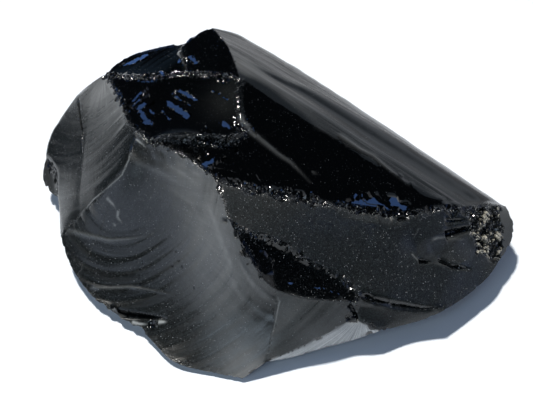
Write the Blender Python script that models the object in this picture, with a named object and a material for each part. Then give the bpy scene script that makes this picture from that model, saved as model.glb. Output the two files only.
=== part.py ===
"""Chunk of obsidian, about 112 mm long, standing on its one flat face.

The chunk is black volcanic glass that was struck apart, so its skin is a set of shell-shaped
scars that meet in sharp ridges. Every scar here is a smooth patch stretched over the closed
loop of ridges around it, pressed in or swollen out in the middle, and the patches share the
points of their ridges, so that together they close one solid.
Lengths in the tables are millimetres. The origin is under the middle of the chunk, on the
ground. +X runs along its length, towards the thin crusted tip, and -Y is the side with the
large matte scar.
"""
import bpy
import numpy as np
from mathutils import Vector
from mathutils.geometry import delaunay_2d_cdt

# Driving dimensions, in millimetres and degrees.
MM = 0.001
SPACING = 1.9              # distance between neighbouring points of the skin
ROLL_AXIS = (0.831, -0.462, -0.308)     # the long rounded edge runs down to the tip
ROLL_UP = (0.23, -0.22, 0.948)          # upright of the mirror face beside it
ROLL_RADIUS_START = 18.2   # rounding of that edge at its high end
ROLL_RADIUS_END = 14.4     # and at the tip
ROLL_TOP = 49              # turn at which the rounding reaches its outline
ROLL_SHOULDER = 25         # turn at which the front strip of the rounding ends
ROLL_UNDER = 77            # turn at which it breaks off into the back
CRUST_ROUGHNESS = 0.55     # height of the lumps in the pale crust of the tip
LIP_ROUGHNESS = 0.25       # height of the crumbs on the broken step
SEED = 11

for old in list(bpy.data.objects):
    bpy.data.objects.remove(old, do_unlink=True)

# Places where three or more scars meet.
JUNCTIONS = {
    "left_tip": (-41, 34, 22),
    "crest_fork": (-30, 6, 28),
    "lip_start": (-27, 2, 28.5),
    "crest_mid": (-12, -10, 28.5),
    "pocket_top": (-9, -20, 26.5),
    "pocket_foot": (1, -30, 15),
    "pocket_end": (18, -30, 12),
    "lobe_corner": (17, -32, 8.5),
    "lobe_foot": (-1, -39.5, 3.5),
    "front_point": (-6, -42, 1),
    "strip_end": (23, -33, 5.5),
    "crease_end": (36.5, -28.5, 6.5),
    "tip_foot": (51, -14, 6.5),
    "crust_low": (46, -14, 9.5),
    "crust_high": (44.5, -11, 13),
    "roll_end": (44, -7, 16),
    "streak_foot": (11, -12.5, 23),
    "lip_end": (-5, 3, 30.5),
    "roll_start": (-7, 17, 34),
    "chip_corner": (-19.5, 22, 31.5),
    "rear_notch": (-21.5, 37, 29.5),
    "back_bend": (21.5, 24.5, 15),
    "left_shoulder": (-48.5, 35, 15),
    "notch_top": (-55.5, 19, 7),
    "notch_foot": (-51, 8, 5),
    "scar_foot": (-48.5, -5.5, 5.5),
    "left_foot": (-39, -22, 3),
    "rear_corner": (-46, 31, 7),
    "rear_fold": (-18, 41, 13),
    "rest_left": (-39, -9, 0),
    "rest_front_left": (-32, -21, 0),
    "rest_front": (-7, -38, 0),
    "rest_front_right": (24, -21, 0),
    "rest_right": (32, -3, 0),
    "rest_back": (9, 18, 0),
    "rest_back_left": (-16, 29, 0),
    "rest_left_back": (-38, 21, 0),
}


def roll_point(start, radius, slide, turn):
    """Point on the rounded edge: it starts flush with the mirror face and turns over it.

    slide is how far the point has moved along the edge once it is on the outline.
    """
    axis = np.array(ROLL_AXIS) / np.linalg.norm(ROLL_AXIS)
    up = np.array(ROLL_UP) / np.linalg.norm(ROLL_UP)
    across = np.cross(up, axis)
    angle = np.radians(turn)
    along = slide * min(1.0, turn / ROLL_TOP)
    return tuple(
        np.array(start)
        + across * radius * np.sin(angle)
        - up * radius * (1 - np.cos(angle))
        + axis * along
    )


high_end = JUNCTIONS["roll_start"]
low_end = JUNCTIONS["roll_end"]
JUNCTIONS["roll_start_mid"] = roll_point(high_end, ROLL_RADIUS_START, -15.2, ROLL_SHOULDER)
JUNCTIONS["rear_peak"] = roll_point(high_end, ROLL_RADIUS_START, -15.2, ROLL_TOP)
JUNCTIONS["roll_start_low"] = roll_point(high_end, ROLL_RADIUS_START, -15.2, ROLL_UNDER)
JUNCTIONS["roll_end_mid"] = roll_point(low_end, ROLL_RADIUS_END, 7.2, ROLL_SHOULDER)
JUNCTIONS["tip_top"] = roll_point(low_end, ROLL_RADIUS_END, 7.2, ROLL_TOP)
JUNCTIONS["tip_back"] = roll_point(low_end, ROLL_RADIUS_END, 7.2, ROLL_UNDER)

# Ridges: a smooth line from junction to junction, through the points between them.
RIDGES = {
    "crest_1": ["left_tip", (-36, 22, 24.5), (-32.5, 10, 27), "crest_fork"],
    "crest_2": ["crest_fork", "lip_start"],
    "crest_3": ["lip_start", (-22, -1, 29), (-16, -6, 29), "crest_mid"],
    "crest_4": ["crest_mid", (-10, -16, 27.5), "pocket_top"],
    "crest_5": ["pocket_top", (-6.5, -24, 24), (-4.5, -26, 21), (-2, -29, 18), "pocket_foot"],
    "pocket_sill": ["pocket_foot", (7, -31, 14), (12, -31, 13), "pocket_end"],
    "pocket_brow": [
        "pocket_top", (-4.5, -22, 25), (2, -22.5, 22.5), (8, -24.5, 18.5), (16.5, -26, 14),
        (18, -28, 13), "pocket_end",
    ],
    "left_brow": ["left_tip", (-45, 34, 19), "left_shoulder"],
    "left_edge_1": ["left_shoulder", (-52, 30, 12), (-55, 24.5, 9), "notch_top"],
    "notch_outer": ["notch_top", (-56, 14.5, 5), (-54, 11, 4.5), "notch_foot"],
    "notch_inner": ["notch_top", (-52, 14, 8), (-51, 10, 7.5), "notch_foot"],
    "left_edge_2": ["notch_foot", (-50, 2.5, 4.5), "scar_foot"],
    "left_edge_3": ["scar_foot", (-46, -12, 4.5), (-43, -17, 3.5), "left_foot"],
    "scar_line": [
        "crest_fork", (-31, 1.5, 26.5), (-33, -2, 23.5), (-38.5, -3.5, 17), (-44, -3.5, 10.5),
        "scar_foot",
    ],
    "front_edge_1": [
        "left_foot", (-33, -27, 2.5), (-27, -31, 2), (-21, -38, 1.5), (-14, -40, 1),
        "front_point",
    ],
    "front_edge_2": ["front_point", "lobe_foot"],
    "lobe_line": ["pocket_foot", (1, -32, 11), (0, -36, 6.5), "lobe_foot"],
    "strip_top": ["lobe_foot", (5.5, -37, 4.5), (11, -35, 6.5), (14.5, -33.5, 7.5), "lobe_corner"],
    "lobe_end": ["lobe_corner", (17, -31, 10.5), "pocket_end"],
    "strip_foot": ["lobe_foot", (5, -37.5, 2.5), (10, -35.5, 2.5), (17, -34, 3.5), "strip_end"],
    "strip_end": ["strip_end", (20, -33, 7.5), "lobe_corner"],
    "toe_edge": ["strip_end", (30, -30, 4.5), (34, -29, 5), "crease_end"],
    "toe_crease": ["pocket_end", (23, -30, 11), (29, -29, 8.5), "crease_end"],
    "right_edge": ["crease_end", (41, -25, 6), (45.5, -21, 6), (49, -17.5, 6.5), "tip_foot"],
    "crust_edge_1": ["tip_foot", "crust_low"],
    "crust_edge_2": ["crust_low", "crust_high"],
    "crust_edge_3": ["crust_high", "roll_end"],
    "fold_rim": [
        "crust_high", (39.5, -12, 14.5), (34, -15, 15), (30.5, -17, 14), (34, -19, 12),
        (39.5, -19, 10), "crust_low",
    ],
    "tip_edge": ["tip_foot", (54.5, -9, 7), (56, -3.5, 8.5), "tip_top"],
    "mirror_edge": ["streak_foot", (19, -12, 21), (28, -12, 19), (35, -9.5, 18), "roll_end"],
    "shelf_edge": ["crest_mid", (-10, -11.5, 28), (-4.5, -12, 26.5), (3, -12, 25), "streak_foot"],
    "streak": ["lip_end", (1, -1, 28), (6, -6, 25.5), (9, -9, 24), "streak_foot"],
    "lip_top": ["lip_start", (-22, 2, 30), (-15.5, 1, 31), (-9, 0, 31), "lip_end"],
    "lip_foot": ["lip_start", (-22, 1.5, 28), (-15.5, 1, 28), (-8.5, 0, 29), "lip_end"],
    "fan_side": ["roll_start", (-7.5, 12, 33), (-7, 7, 32), "lip_end"],
    "chip_row_1": ["left_tip", (-35, 28.5, 25.5), (-27, 24, 29), "chip_corner"],
    "chip_row_2": ["chip_corner", (-13, 20, 33), "roll_start"],
    "chip_rib": ["chip_corner", (-21, 29, 31), "rear_notch"],
    "rear_edge_1": ["left_tip", (-39, 36.5, 22.5), (-36, 40, 23), (-30, 39.5, 25.5), "rear_notch"],
    "rear_edge_2": ["rear_notch", (-17, 37, 32.5), "rear_peak"],
    "roll_start_1": ["roll_start", "roll_start_mid"],
    "roll_start_2": ["roll_start_mid", "rear_peak"],
    "roll_start_3": ["rear_peak", "roll_start_low"],
    "roll_end_1": ["roll_end", "roll_end_mid"],
    "roll_end_2": ["roll_end_mid", "tip_top"],
    "roll_end_3": ["tip_top", "tip_back"],
    "roll_0": ["roll_start", (6.5, 9, 29), (18, 4, 25), (32, -3, 20), "roll_end"],
    "roll_1": ["roll_start_mid", "roll_end_mid"],
    "roll_2": ["rear_peak", (-9, 37.5, 33), (14, 25.5, 25), "tip_top"],
    "roll_3a": ["roll_start_low", "back_bend"],
    "roll_3b": ["back_bend", "tip_back"],
    "back_rib": ["rear_notch", (-20, 41, 21), "rear_fold"],
    "back_fold": ["rear_corner", (-32, 39, 9.5), "rear_fold"],
    "corner_drop": ["left_shoulder", (-47.5, 34, 11), "rear_corner"],
    "back_corner": ["roll_start_low", "rear_fold"],
    "fold_drop": ["rear_fold", (-17, 36, 6), "rest_back_left"],
    "left_back_drop": ["rear_corner", "rest_left_back"],
    "back_spine": ["back_bend", (16, 22, 7), "rest_back"],
    "tip_drop": ["tip_back", "rest_right"],
    "toe_drop": ["strip_end", "rest_front_right"],
    "front_drop": ["front_point", "rest_front"],
    "left_drop": ["left_foot", "rest_front_left"],
    "scar_drop": ["scar_foot", "rest_left"],
    "rest_1": ["rest_left", "rest_front_left"],
    "rest_2": ["rest_front_left", (-20, -32, 0), "rest_front"],
    "rest_3": ["rest_front", (8, -31, 0), "rest_front_right"],
    "rest_4": ["rest_front_right", "rest_right"],
    "rest_5": ["rest_right", "rest_back"],
    "rest_6": ["rest_back", "rest_back_left"],
    "rest_7": ["rest_back_left", "rest_left_back"],
    "rest_8": ["rest_left_back", (-43, 5, 0), "rest_left"],
}

# Scars: the depth of the hollow in the middle (minus for a swelling) and the ridges around
# it, followed with the stone on the left hand.
FACES = {
    "bulb": (-1.0, [
        "left_brow", "left_edge_1", "notch_inner", "left_edge_2", "-scar_line", "-crest_1",
    ]),
    "shell_scar": (2.0, [
        "scar_line", "left_edge_3", "front_edge_1", "front_edge_2", "-lobe_line", "-crest_5",
        "-crest_4", "-crest_3", "-crest_2",
    ]),
    "lobe": (-1.0, ["lobe_line", "strip_top", "lobe_end", "-pocket_sill"]),
    "strip": (0, ["strip_foot", "strip_end", "-strip_top"]),
    "toe": (0.4, ["-lobe_end", "-strip_end", "toe_edge", "-toe_crease"]),
    "pocket": (2.0, ["crest_5", "pocket_sill", "-pocket_brow"]),
    "shelf": (-0.5, [
        "crest_4", "pocket_brow", "toe_crease", "right_edge", "crust_edge_1", "-fold_rim",
        "crust_edge_3", "-mirror_edge", "-shelf_edge",
    ]),
    "fold": (1.0, ["fold_rim", "crust_edge_2"]),
    "notch": (0.3, ["notch_outer", "-notch_inner"]),
    "crust": (0, [
        "tip_edge", "-roll_end_2", "-roll_end_1", "-crust_edge_3", "-crust_edge_2",
        "-crust_edge_1",
    ]),
    "inner_face": (1.0, ["crest_3", "shelf_edge", "-streak", "-lip_foot"]),
    "lip": (0, ["lip_foot", "-lip_top"]),
    "fan_scar": (1.6, ["crest_1", "crest_2", "lip_top", "-fan_side", "-chip_row_2", "-chip_row_1"]),
    "rear_chip_left": (0.5, ["chip_row_1", "chip_rib", "-rear_edge_1"]),
    "rear_chip_right": (0.6, [
        "chip_row_2", "roll_start_1", "roll_start_2", "-rear_edge_2", "-chip_rib",
    ]),
    "mirror_face": (0, ["streak", "mirror_edge", "-roll_0", "fan_side"]),
    "roll_front": (-0.4, ["roll_0", "roll_end_1", "-roll_1", "-roll_start_1"]),
    "roll_top": (-0.4, ["roll_1", "roll_end_2", "-roll_2", "-roll_start_2"]),
    "roll_back": (-0.6, ["roll_2", "roll_end_3", "-roll_3b", "-roll_3a", "-roll_start_3"]),
    "back_left": (1.0, ["rear_edge_1", "back_rib", "-back_fold", "-corner_drop", "-left_brow"]),
    "back_corner": (0.5, ["rear_edge_2", "roll_start_3", "back_corner", "-back_rib"]),
    "back_foot": (0.5, ["back_fold", "fold_drop", "rest_7", "-left_back_drop"]),
    "back_middle": (1.5, ["roll_3a", "back_spine", "rest_6", "-fold_drop", "-back_corner"]),
    "back_right": (1.5, ["roll_3b", "tip_drop", "rest_5", "-back_spine"]),
    "under_right": (1.0, [
        "toe_drop", "rest_4", "-tip_drop", "-roll_end_3", "-tip_edge", "-right_edge",
        "-toe_edge",
    ]),
    "under_strip": (0.3, ["-strip_foot", "-front_edge_2", "front_drop", "rest_3", "-toe_drop"]),
    "under_front": (0.2, ["-front_edge_1", "left_drop", "rest_2", "-front_drop"]),
    "under_left_front": (0.2, ["-left_edge_3", "scar_drop", "rest_1", "-left_drop"]),
    "under_left": (0.8, [
        "-left_edge_2", "-notch_outer", "-left_edge_1", "corner_drop", "left_back_drop",
        "rest_8", "-scar_drop",
    ]),
    "rest": (0, [
        "-rest_1", "-rest_8", "-rest_7", "-rest_6", "-rest_5", "-rest_4", "-rest_3", "-rest_2",
    ]),
}
ROUGHNESS = {"crust": CRUST_ROUGHNESS, "lip": LIP_ROUGHNESS}


def ridge_line(names):
    """Evenly spaced points of the smooth line through a ridge's points (Catmull-Rom)."""
    points = [np.array(JUNCTIONS[p] if isinstance(p, str) else p, float) for p in names]
    padded = [2 * points[0] - points[1]] + points + [2 * points[-1] - points[-2]]
    dense = []
    for p0, p1, p2, p3 in zip(padded, padded[1:], padded[2:], padded[3:]):
        for t in np.linspace(0, 1, 24, endpoint=False):
            dense.append(0.5 * (
                2 * p1
                + (p2 - p0) * t
                + (2 * p0 - 5 * p1 + 4 * p2 - p3) * t * t
                + (3 * p1 - p0 - 3 * p2 + p3) * t ** 3
            ))
    dense = np.array(dense + [points[-1]])
    run = np.concatenate([[0], np.cumsum(np.linalg.norm(np.diff(dense, axis=0), axis=1))])
    steps = max(1, round(run[-1] / SPACING))
    stations = np.linspace(0, run[-1], steps + 1)
    return np.stack([np.interp(stations, run, dense[:, k]) for k in range(3)], axis=1)


points = []
number_of = {}


def number(point):
    """Index of a skin point, the same for every patch that touches it."""
    key = tuple(np.round(point, 4))
    if key not in number_of:
        number_of[key] = len(points)
        points.append(np.array(point, float))
    return number_of[key]


ridge_numbers = {name: [number(p) for p in ridge_line(way)] for name, way in RIDGES.items()}


def loop_numbers(ridges):
    """Points around a scar, in order; a leading minus runs the ridge backwards."""
    loop = []
    for ridge in ridges:
        part = ridge_numbers[ridge.lstrip("-")]
        if ridge.startswith("-"):
            part = part[::-1]
        assert not loop or loop[-1] == part[0], ridge + " doesn't join the ridge before it"
        loop += part[1:] if loop else part
    assert loop[0] == loop[-1], "the loop ending with " + ridge + " is open"
    return loop[:-1]


def lattice(rim):
    """Points of a triangular grid inside a flat loop, kept clear of its edge."""
    after = np.roll(rim, -1, axis=0)
    step = after - rim
    found = []
    row = 0
    y = rim[:, 1].min() + SPACING * 0.3
    while y < rim[:, 1].max():
        x = rim[:, 0].min() + (SPACING / 2 if row % 2 else 0)
        while x < rim[:, 0].max():
            spot = np.array((x, y))
            crosses = (rim[:, 1] > y) != (after[:, 1] > y)
            height = np.where(crosses, step[:, 1], 1.0)
            at = rim[:, 0] + step[:, 0] * (y - rim[:, 1]) / height
            inside = np.count_nonzero(crosses & (x < at)) % 2 == 1
            share = ((spot - rim) * step).sum(1) / (step * step).sum(1)
            nearest = rim + step * np.clip(share, 0, 1)[:, None]
            if inside and np.linalg.norm(nearest - spot, axis=1).min() > SPACING * 0.55:
                found.append(spot)
            x += SPACING
        y += SPACING * 0.866
        row += 1
    return np.array(found).reshape(-1, 2)


def stiffness(flat, triangles):
    """Cotangent matrix and point areas of a flat triangulation, for stretching a skin."""
    matrix = np.zeros((len(flat), len(flat)))
    area = np.zeros(len(flat))
    for triangle in triangles:
        for k in range(3):
            i, j, far = triangle[k], triangle[(k + 1) % 3], triangle[(k + 2) % 3]
            a = flat[i] - flat[far]
            b = flat[j] - flat[far]
            doubled = max(abs(a[0] * b[1] - a[1] * b[0]), 1e-9)
            cotangent = np.clip((a @ b) / doubled, -0.2, 6)
            matrix[i, j] += cotangent / 2
            matrix[j, i] += cotangent / 2
            area[i] += doubled / 6
    return matrix - np.diag(matrix.sum(1)), area


rng = np.random.default_rng(SEED)
skin = []
for name, (hollow, ridges) in FACES.items():
    loop = loop_numbers(ridges)
    rim = np.array([points[i] for i in loop])
    middle = rim.mean(0)
    normal = np.cross(rim - middle, np.roll(rim, -1, axis=0) - middle).sum(0)
    normal /= np.linalg.norm(normal)
    side = np.cross(normal, (0, 0, 1) if abs(normal[2]) < 0.9 else (0, 1, 0))
    side /= np.linalg.norm(side)
    rise = np.cross(normal, side)
    rim_flat = np.stack([(rim - middle) @ side, (rim - middle) @ rise], axis=1)
    inner = lattice(rim_flat) if name != "rest" else np.zeros((0, 2))
    flat = np.vstack([rim_flat, inner])
    count = len(loop)
    edges = [(i, (i + 1) % count) for i in range(count)]
    filled = delaunay_2d_cdt([Vector(p) for p in flat], edges, [list(range(count))], 1, 1e-5)
    source = [origin[0] for origin in filled[3]]
    triangles = [[source[i] for i in face] for face in filled[2]]

    # Stretch the skin over the rim, then press it in by the scar's depth.
    matrix, area = stiffness(flat, triangles)
    height = np.zeros(len(flat))
    height[:count] = (rim - middle) @ normal
    free = slice(count, None)
    if len(inner):
        height[free] = np.linalg.solve(matrix[free, free], -matrix[free, :count] @ height[:count])
        dish = np.linalg.solve(matrix[free, free], -area[free])
        height[free] -= hollow * dish / dish.max()
        height[free] += ROUGHNESS.get(name, 0.0) * rng.uniform(-1, 1, len(inner))
    places = list(loop)
    for spot, up in zip(inner, height[free]):
        places.append(number(middle + side * spot[0] + rise * spot[1] + normal * up))
    for a, b, c in triangles:
        u, v, w = flat[a], flat[b], flat[c]
        left_turn = (v[0] - u[0]) * (w[1] - u[1]) > (v[1] - u[1]) * (w[0] - u[0])
        skin.append([places[i] for i in ((a, b, c) if left_turn else (a, c, b))])

# Obsidian: black glass, frosted by weathering on most of its scars.
obsidian = bpy.data.materials.new("obsidian")
obsidian.use_nodes = True
shader = obsidian.node_tree.nodes["Principled BSDF"]
shader.inputs["Base Color"].default_value = (0.018, 0.021, 0.023, 1)
shader.inputs["Roughness"].default_value = 0.3
shader.inputs["Metallic"].default_value = 0.0

mesh = bpy.data.meshes.new("obsidian_chunk")
mesh.from_pydata([tuple(p * MM) for p in points], [], skin)
mesh.materials.append(obsidian)
mesh.validate()
mesh.shade_flat()
chunk = bpy.data.objects.new("obsidian_chunk", mesh)
bpy.context.collection.objects.link(chunk)
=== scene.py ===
"""Looks of a chunk of obsidian: black volcanic glass, struck apart into shell-shaped scars.

The skin is built again from the same ridges and scars as the CAD solid, in millimetres, then
split finer and given its ripples, flutes, broken edges and crust.
"""
import math

import bpy
import numpy as np
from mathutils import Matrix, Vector, kdtree, noise
from mathutils.geometry import delaunay_2d_cdt


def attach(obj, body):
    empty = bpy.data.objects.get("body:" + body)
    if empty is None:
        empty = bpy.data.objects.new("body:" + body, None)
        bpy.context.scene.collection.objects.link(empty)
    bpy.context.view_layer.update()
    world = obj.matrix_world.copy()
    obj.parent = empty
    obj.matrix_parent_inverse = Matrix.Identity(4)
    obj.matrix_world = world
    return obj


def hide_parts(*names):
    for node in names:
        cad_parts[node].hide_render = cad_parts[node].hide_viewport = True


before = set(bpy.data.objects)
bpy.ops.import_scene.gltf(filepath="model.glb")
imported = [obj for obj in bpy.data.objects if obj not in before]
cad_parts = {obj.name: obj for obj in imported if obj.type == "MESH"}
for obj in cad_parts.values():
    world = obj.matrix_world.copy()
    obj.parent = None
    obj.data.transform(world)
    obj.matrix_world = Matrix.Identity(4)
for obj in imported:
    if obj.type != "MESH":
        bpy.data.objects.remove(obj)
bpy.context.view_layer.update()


# ---------------------------------------------------------------- camera
# It looks down on the chunk at 45 degrees, from the side of the large matte scar, close enough
# for the near end to look larger than the far one.

MM = 0.001
VIEW_TILT = math.pi / 4
VIEW_DISTANCE = 225
AIM_X, AIM_Y, AIM_Z = -1, -11, 20       # the point it looks at


def add_object(name, data):
    """A new object in the scene, at the origin."""
    made = bpy.data.objects.new(name, data)
    bpy.context.scene.collection.objects.link(made)
    return made


camera = add_object("camera", bpy.data.cameras.new("camera"))
camera.data.lens = 70
camera.data.sensor_width = 36
camera.data.clip_start = 0.01
back_off = VIEW_DISTANCE * math.cos(VIEW_TILT)
rise = VIEW_DISTANCE * math.sin(VIEW_TILT)
camera.location = Vector((AIM_X, AIM_Y - back_off, AIM_Z + rise)) * MM
camera.rotation_euler = (VIEW_TILT, 0, 0)
bpy.context.scene.camera = camera


# ---------------------------------------------------------------- scars and ridges
# Blows knocked the chunk out of a larger block of volcanic glass. Each blow left one scar, curved
# like the inside or the outside of a shell, and neighbouring scars meet in a sharp ridge. Lengths
# are millimetres, and the thin crusted tip points along +X.

SPACING = 1.9              # distance between neighbouring points of the first, coarse skin
ROLL_AXIS = (0.831, -0.462, -0.308)     # the long rounded edge runs down to the tip
ROLL_UP = (0.23, -0.22, 0.948)          # upright of the mirror face beside it
ROLL_RADIUS_START = 18.2   # rounding of that edge at its high end
ROLL_RADIUS_END = 14.4     # and at the tip
ROLL_SLIDE_START = -15.2   # how far the outline's end lies along the edge from the mirror's corner
ROLL_SLIDE_END = 7.2
ROLL_SHOULDER = 25         # turn in degrees at which the front strip of the rounding ends
ROLL_TOP = 49              # turn at which the rounding reaches its outline
ROLL_UNDER = 77            # turn at which it breaks off into the back

# Places where three or more scars meet.
JUNCTIONS = {
    "left_tip": (-41, 34, 22),
    "crest_fork": (-30, 6, 28),
    "lip_start": (-27, 2, 28.5),
    "crest_mid": (-12, -10, 28.5),
    "pocket_top": (-9, -20, 26.5),
    "pocket_foot": (1, -30, 15),
    "pocket_end": (18, -30, 12),
    "lobe_corner": (17, -32, 8.5),
    "lobe_foot": (-1, -39.5, 3.5),
    "front_point": (-6, -42, 1),
    "strip_end": (23, -33, 5.5),
    "crease_end": (36.5, -28.5, 6.5),
    "tip_foot": (51, -14, 6.5),
    "crust_low": (46, -14, 9.5),
    "crust_high": (44.5, -11, 13),
    "roll_end": (44, -7, 16),
    "streak_foot": (11, -12.5, 23),
    "lip_end": (-5, 3, 30.5),
    "roll_start": (-7, 17, 34),
    "chip_corner": (-19.5, 22, 31.5),
    "rear_notch": (-21.5, 37, 29.5),
    "back_bend": (21.5, 24.5, 15),
    "left_shoulder": (-48.5, 35, 15),
    "notch_top": (-55.5, 19, 7),
    "notch_foot": (-51, 8, 5),
    "scar_foot": (-48.5, -5.5, 5.5),
    "left_foot": (-39, -22, 3),
    "rear_corner": (-46, 31, 7),
    "rear_fold": (-18, 41, 13),
    "rest_left": (-39, -9, 0),
    "rest_front_left": (-32, -21, 0),
    "rest_front": (-7, -38, 0),
    "rest_front_right": (24, -21, 0),
    "rest_right": (32, -3, 0),
    "rest_back": (9, 18, 0),
    "rest_back_left": (-16, 29, 0),
    "rest_left_back": (-38, 21, 0),
}


roll_axis = np.array(ROLL_AXIS) / np.linalg.norm(ROLL_AXIS)
roll_up = np.array(ROLL_UP) / np.linalg.norm(ROLL_UP)
roll_across = np.cross(roll_up, roll_axis)

# The rounded edge starts flush with the mirror face and turns over it.
for start, radius, slide, *corners in (
    (
        "roll_start", ROLL_RADIUS_START, ROLL_SLIDE_START,
        "roll_start_mid", "rear_peak", "roll_start_low",
    ),
    ("roll_end", ROLL_RADIUS_END, ROLL_SLIDE_END, "roll_end_mid", "tip_top", "tip_back"),
):
    for corner, turn in zip(corners, (ROLL_SHOULDER, ROLL_TOP, ROLL_UNDER)):
        angle = np.radians(turn)
        JUNCTIONS[corner] = tuple(
            np.array(JUNCTIONS[start])
            + roll_across * radius * np.sin(angle)
            - roll_up * radius * (1 - np.cos(angle))
            + roll_axis * (slide * min(1.0, turn / ROLL_TOP))
        )

# Ridges: a smooth line from junction to junction, through the points between them.
RIDGES = {
    "crest_1": ["left_tip", (-36, 22, 24.5), (-32.5, 10, 27), "crest_fork"],
    "crest_2": ["crest_fork", "lip_start"],
    "crest_3": ["lip_start", (-22, -1, 29), (-16, -6, 29), "crest_mid"],
    "crest_4": ["crest_mid", (-10, -16, 27.5), "pocket_top"],
    "crest_5": ["pocket_top", (-6.5, -24, 24), (-4.5, -26, 21), (-2, -29, 18), "pocket_foot"],
    "pocket_sill": ["pocket_foot", (7, -31, 14), (12, -31, 13), "pocket_end"],
    "pocket_brow": [
        "pocket_top", (-4.5, -22, 25), (2, -22.5, 22.5), (8, -24.5, 18.5), (16.5, -26, 14),
        (18, -28, 13), "pocket_end",
    ],
    "left_brow": ["left_tip", (-45, 34, 19), "left_shoulder"],
    "left_edge_1": ["left_shoulder", (-52, 30, 12), (-55, 24.5, 9), "notch_top"],
    "notch_outer": ["notch_top", (-56, 14.5, 5), (-54, 11, 4.5), "notch_foot"],
    "notch_inner": ["notch_top", (-52, 14, 8), (-51, 10, 7.5), "notch_foot"],
    "left_edge_2": ["notch_foot", (-50, 2.5, 4.5), "scar_foot"],
    "left_edge_3": ["scar_foot", (-46, -12, 4.5), (-43, -17, 3.5), "left_foot"],
    "scar_line": [
        "crest_fork", (-31, 1.5, 26.5), (-33, -2, 23.5), (-38.5, -3.5, 17), (-44, -3.5, 10.5),
        "scar_foot",
    ],
    "front_edge_1": [
        "left_foot", (-33, -27, 2.5), (-27, -31, 2), (-21, -38, 1.5), (-14, -40, 1),
        "front_point",
    ],
    "front_edge_2": ["front_point", "lobe_foot"],
    "lobe_line": ["pocket_foot", (1, -32, 11), (0, -36, 6.5), "lobe_foot"],
    "strip_top": ["lobe_foot", (5.5, -37, 4.5), (11, -35, 6.5), (14.5, -33.5, 7.5), "lobe_corner"],
    "lobe_end": ["lobe_corner", (17, -31, 10.5), "pocket_end"],
    "strip_foot": ["lobe_foot", (5, -37.5, 2.5), (10, -35.5, 2.5), (17, -34, 3.5), "strip_end"],
    "strip_end": ["strip_end", (20, -33, 7.5), "lobe_corner"],
    "toe_edge": ["strip_end", (30, -30, 4.5), (34, -29, 5), "crease_end"],
    "toe_crease": ["pocket_end", (23, -30, 11), (29, -29, 8.5), "crease_end"],
    "right_edge": ["crease_end", (41, -25, 6), (45.5, -21, 6), (49, -17.5, 6.5), "tip_foot"],
    "crust_edge_1": ["tip_foot", "crust_low"],
    "crust_edge_2": ["crust_low", "crust_high"],
    "crust_edge_3": ["crust_high", "roll_end"],
    "fold_rim": [
        "crust_high", (39.5, -12, 14.5), (34, -15, 15), (30.5, -17, 14), (34, -19, 12),
        (39.5, -19, 10), "crust_low",
    ],
    "tip_edge": ["tip_foot", (54.5, -9, 7), (56, -3.5, 8.5), "tip_top"],
    "mirror_edge": ["streak_foot", (19, -12, 21), (28, -12, 19), (35, -9.5, 18), "roll_end"],
    "shelf_edge": ["crest_mid", (-10, -11.5, 28), (-4.5, -12, 26.5), (3, -12, 25), "streak_foot"],
    "streak": ["lip_end", (1, -1, 28), (6, -6, 25.5), (9, -9, 24), "streak_foot"],
    "lip_top": ["lip_start", (-22, 2, 30), (-15.5, 1, 31), (-9, 0, 31), "lip_end"],
    "lip_foot": ["lip_start", (-22, 1.5, 28), (-15.5, 1, 28), (-8.5, 0, 29), "lip_end"],
    "fan_side": ["roll_start", (-7.5, 12, 33), (-7, 7, 32), "lip_end"],
    "chip_row_1": ["left_tip", (-35, 28.5, 25.5), (-27, 24, 29), "chip_corner"],
    "chip_row_2": ["chip_corner", (-13, 20, 33), "roll_start"],
    "chip_rib": ["chip_corner", (-21, 29, 31), "rear_notch"],
    "rear_edge_1": ["left_tip", (-39, 36.5, 22.5), (-36, 40, 23), (-30, 39.5, 25.5), "rear_notch"],
    "rear_edge_2": ["rear_notch", (-17, 37, 32.5), "rear_peak"],
    "roll_start_1": ["roll_start", "roll_start_mid"],
    "roll_start_2": ["roll_start_mid", "rear_peak"],
    "roll_start_3": ["rear_peak", "roll_start_low"],
    "roll_end_1": ["roll_end", "roll_end_mid"],
    "roll_end_2": ["roll_end_mid", "tip_top"],
    "roll_end_3": ["tip_top", "tip_back"],
    "roll_0": ["roll_start", (6.5, 9, 29), (18, 4, 25), (32, -3, 20), "roll_end"],
    "roll_1": ["roll_start_mid", "roll_end_mid"],
    "roll_2": ["rear_peak", (-9, 37.5, 33), (14, 25.5, 25), "tip_top"],
    "roll_3a": ["roll_start_low", "back_bend"],
    "roll_3b": ["back_bend", "tip_back"],
    "back_rib": ["rear_notch", (-20, 41, 21), "rear_fold"],
    "back_fold": ["rear_corner", (-32, 39, 9.5), "rear_fold"],
    "corner_drop": ["left_shoulder", (-47.5, 34, 11), "rear_corner"],
    "back_corner": ["roll_start_low", "rear_fold"],
    "fold_drop": ["rear_fold", (-17, 36, 6), "rest_back_left"],
    "left_back_drop": ["rear_corner", "rest_left_back"],
    "back_spine": ["back_bend", (16, 22, 7), "rest_back"],
    "tip_drop": ["tip_back", "rest_right"],
    "toe_drop": ["strip_end", "rest_front_right"],
    "front_drop": ["front_point", "rest_front"],
    "left_drop": ["left_foot", "rest_front_left"],
    "scar_drop": ["scar_foot", "rest_left"],
    "rest_1": ["rest_left", "rest_front_left"],
    "rest_2": ["rest_front_left", (-20, -32, 0), "rest_front"],
    "rest_3": ["rest_front", (8, -31, 0), "rest_front_right"],
    "rest_4": ["rest_front_right", "rest_right"],
    "rest_5": ["rest_right", "rest_back"],
    "rest_6": ["rest_back", "rest_back_left"],
    "rest_7": ["rest_back_left", "rest_left_back"],
    "rest_8": ["rest_left_back", (-43, 5, 0), "rest_left"],
}

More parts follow.
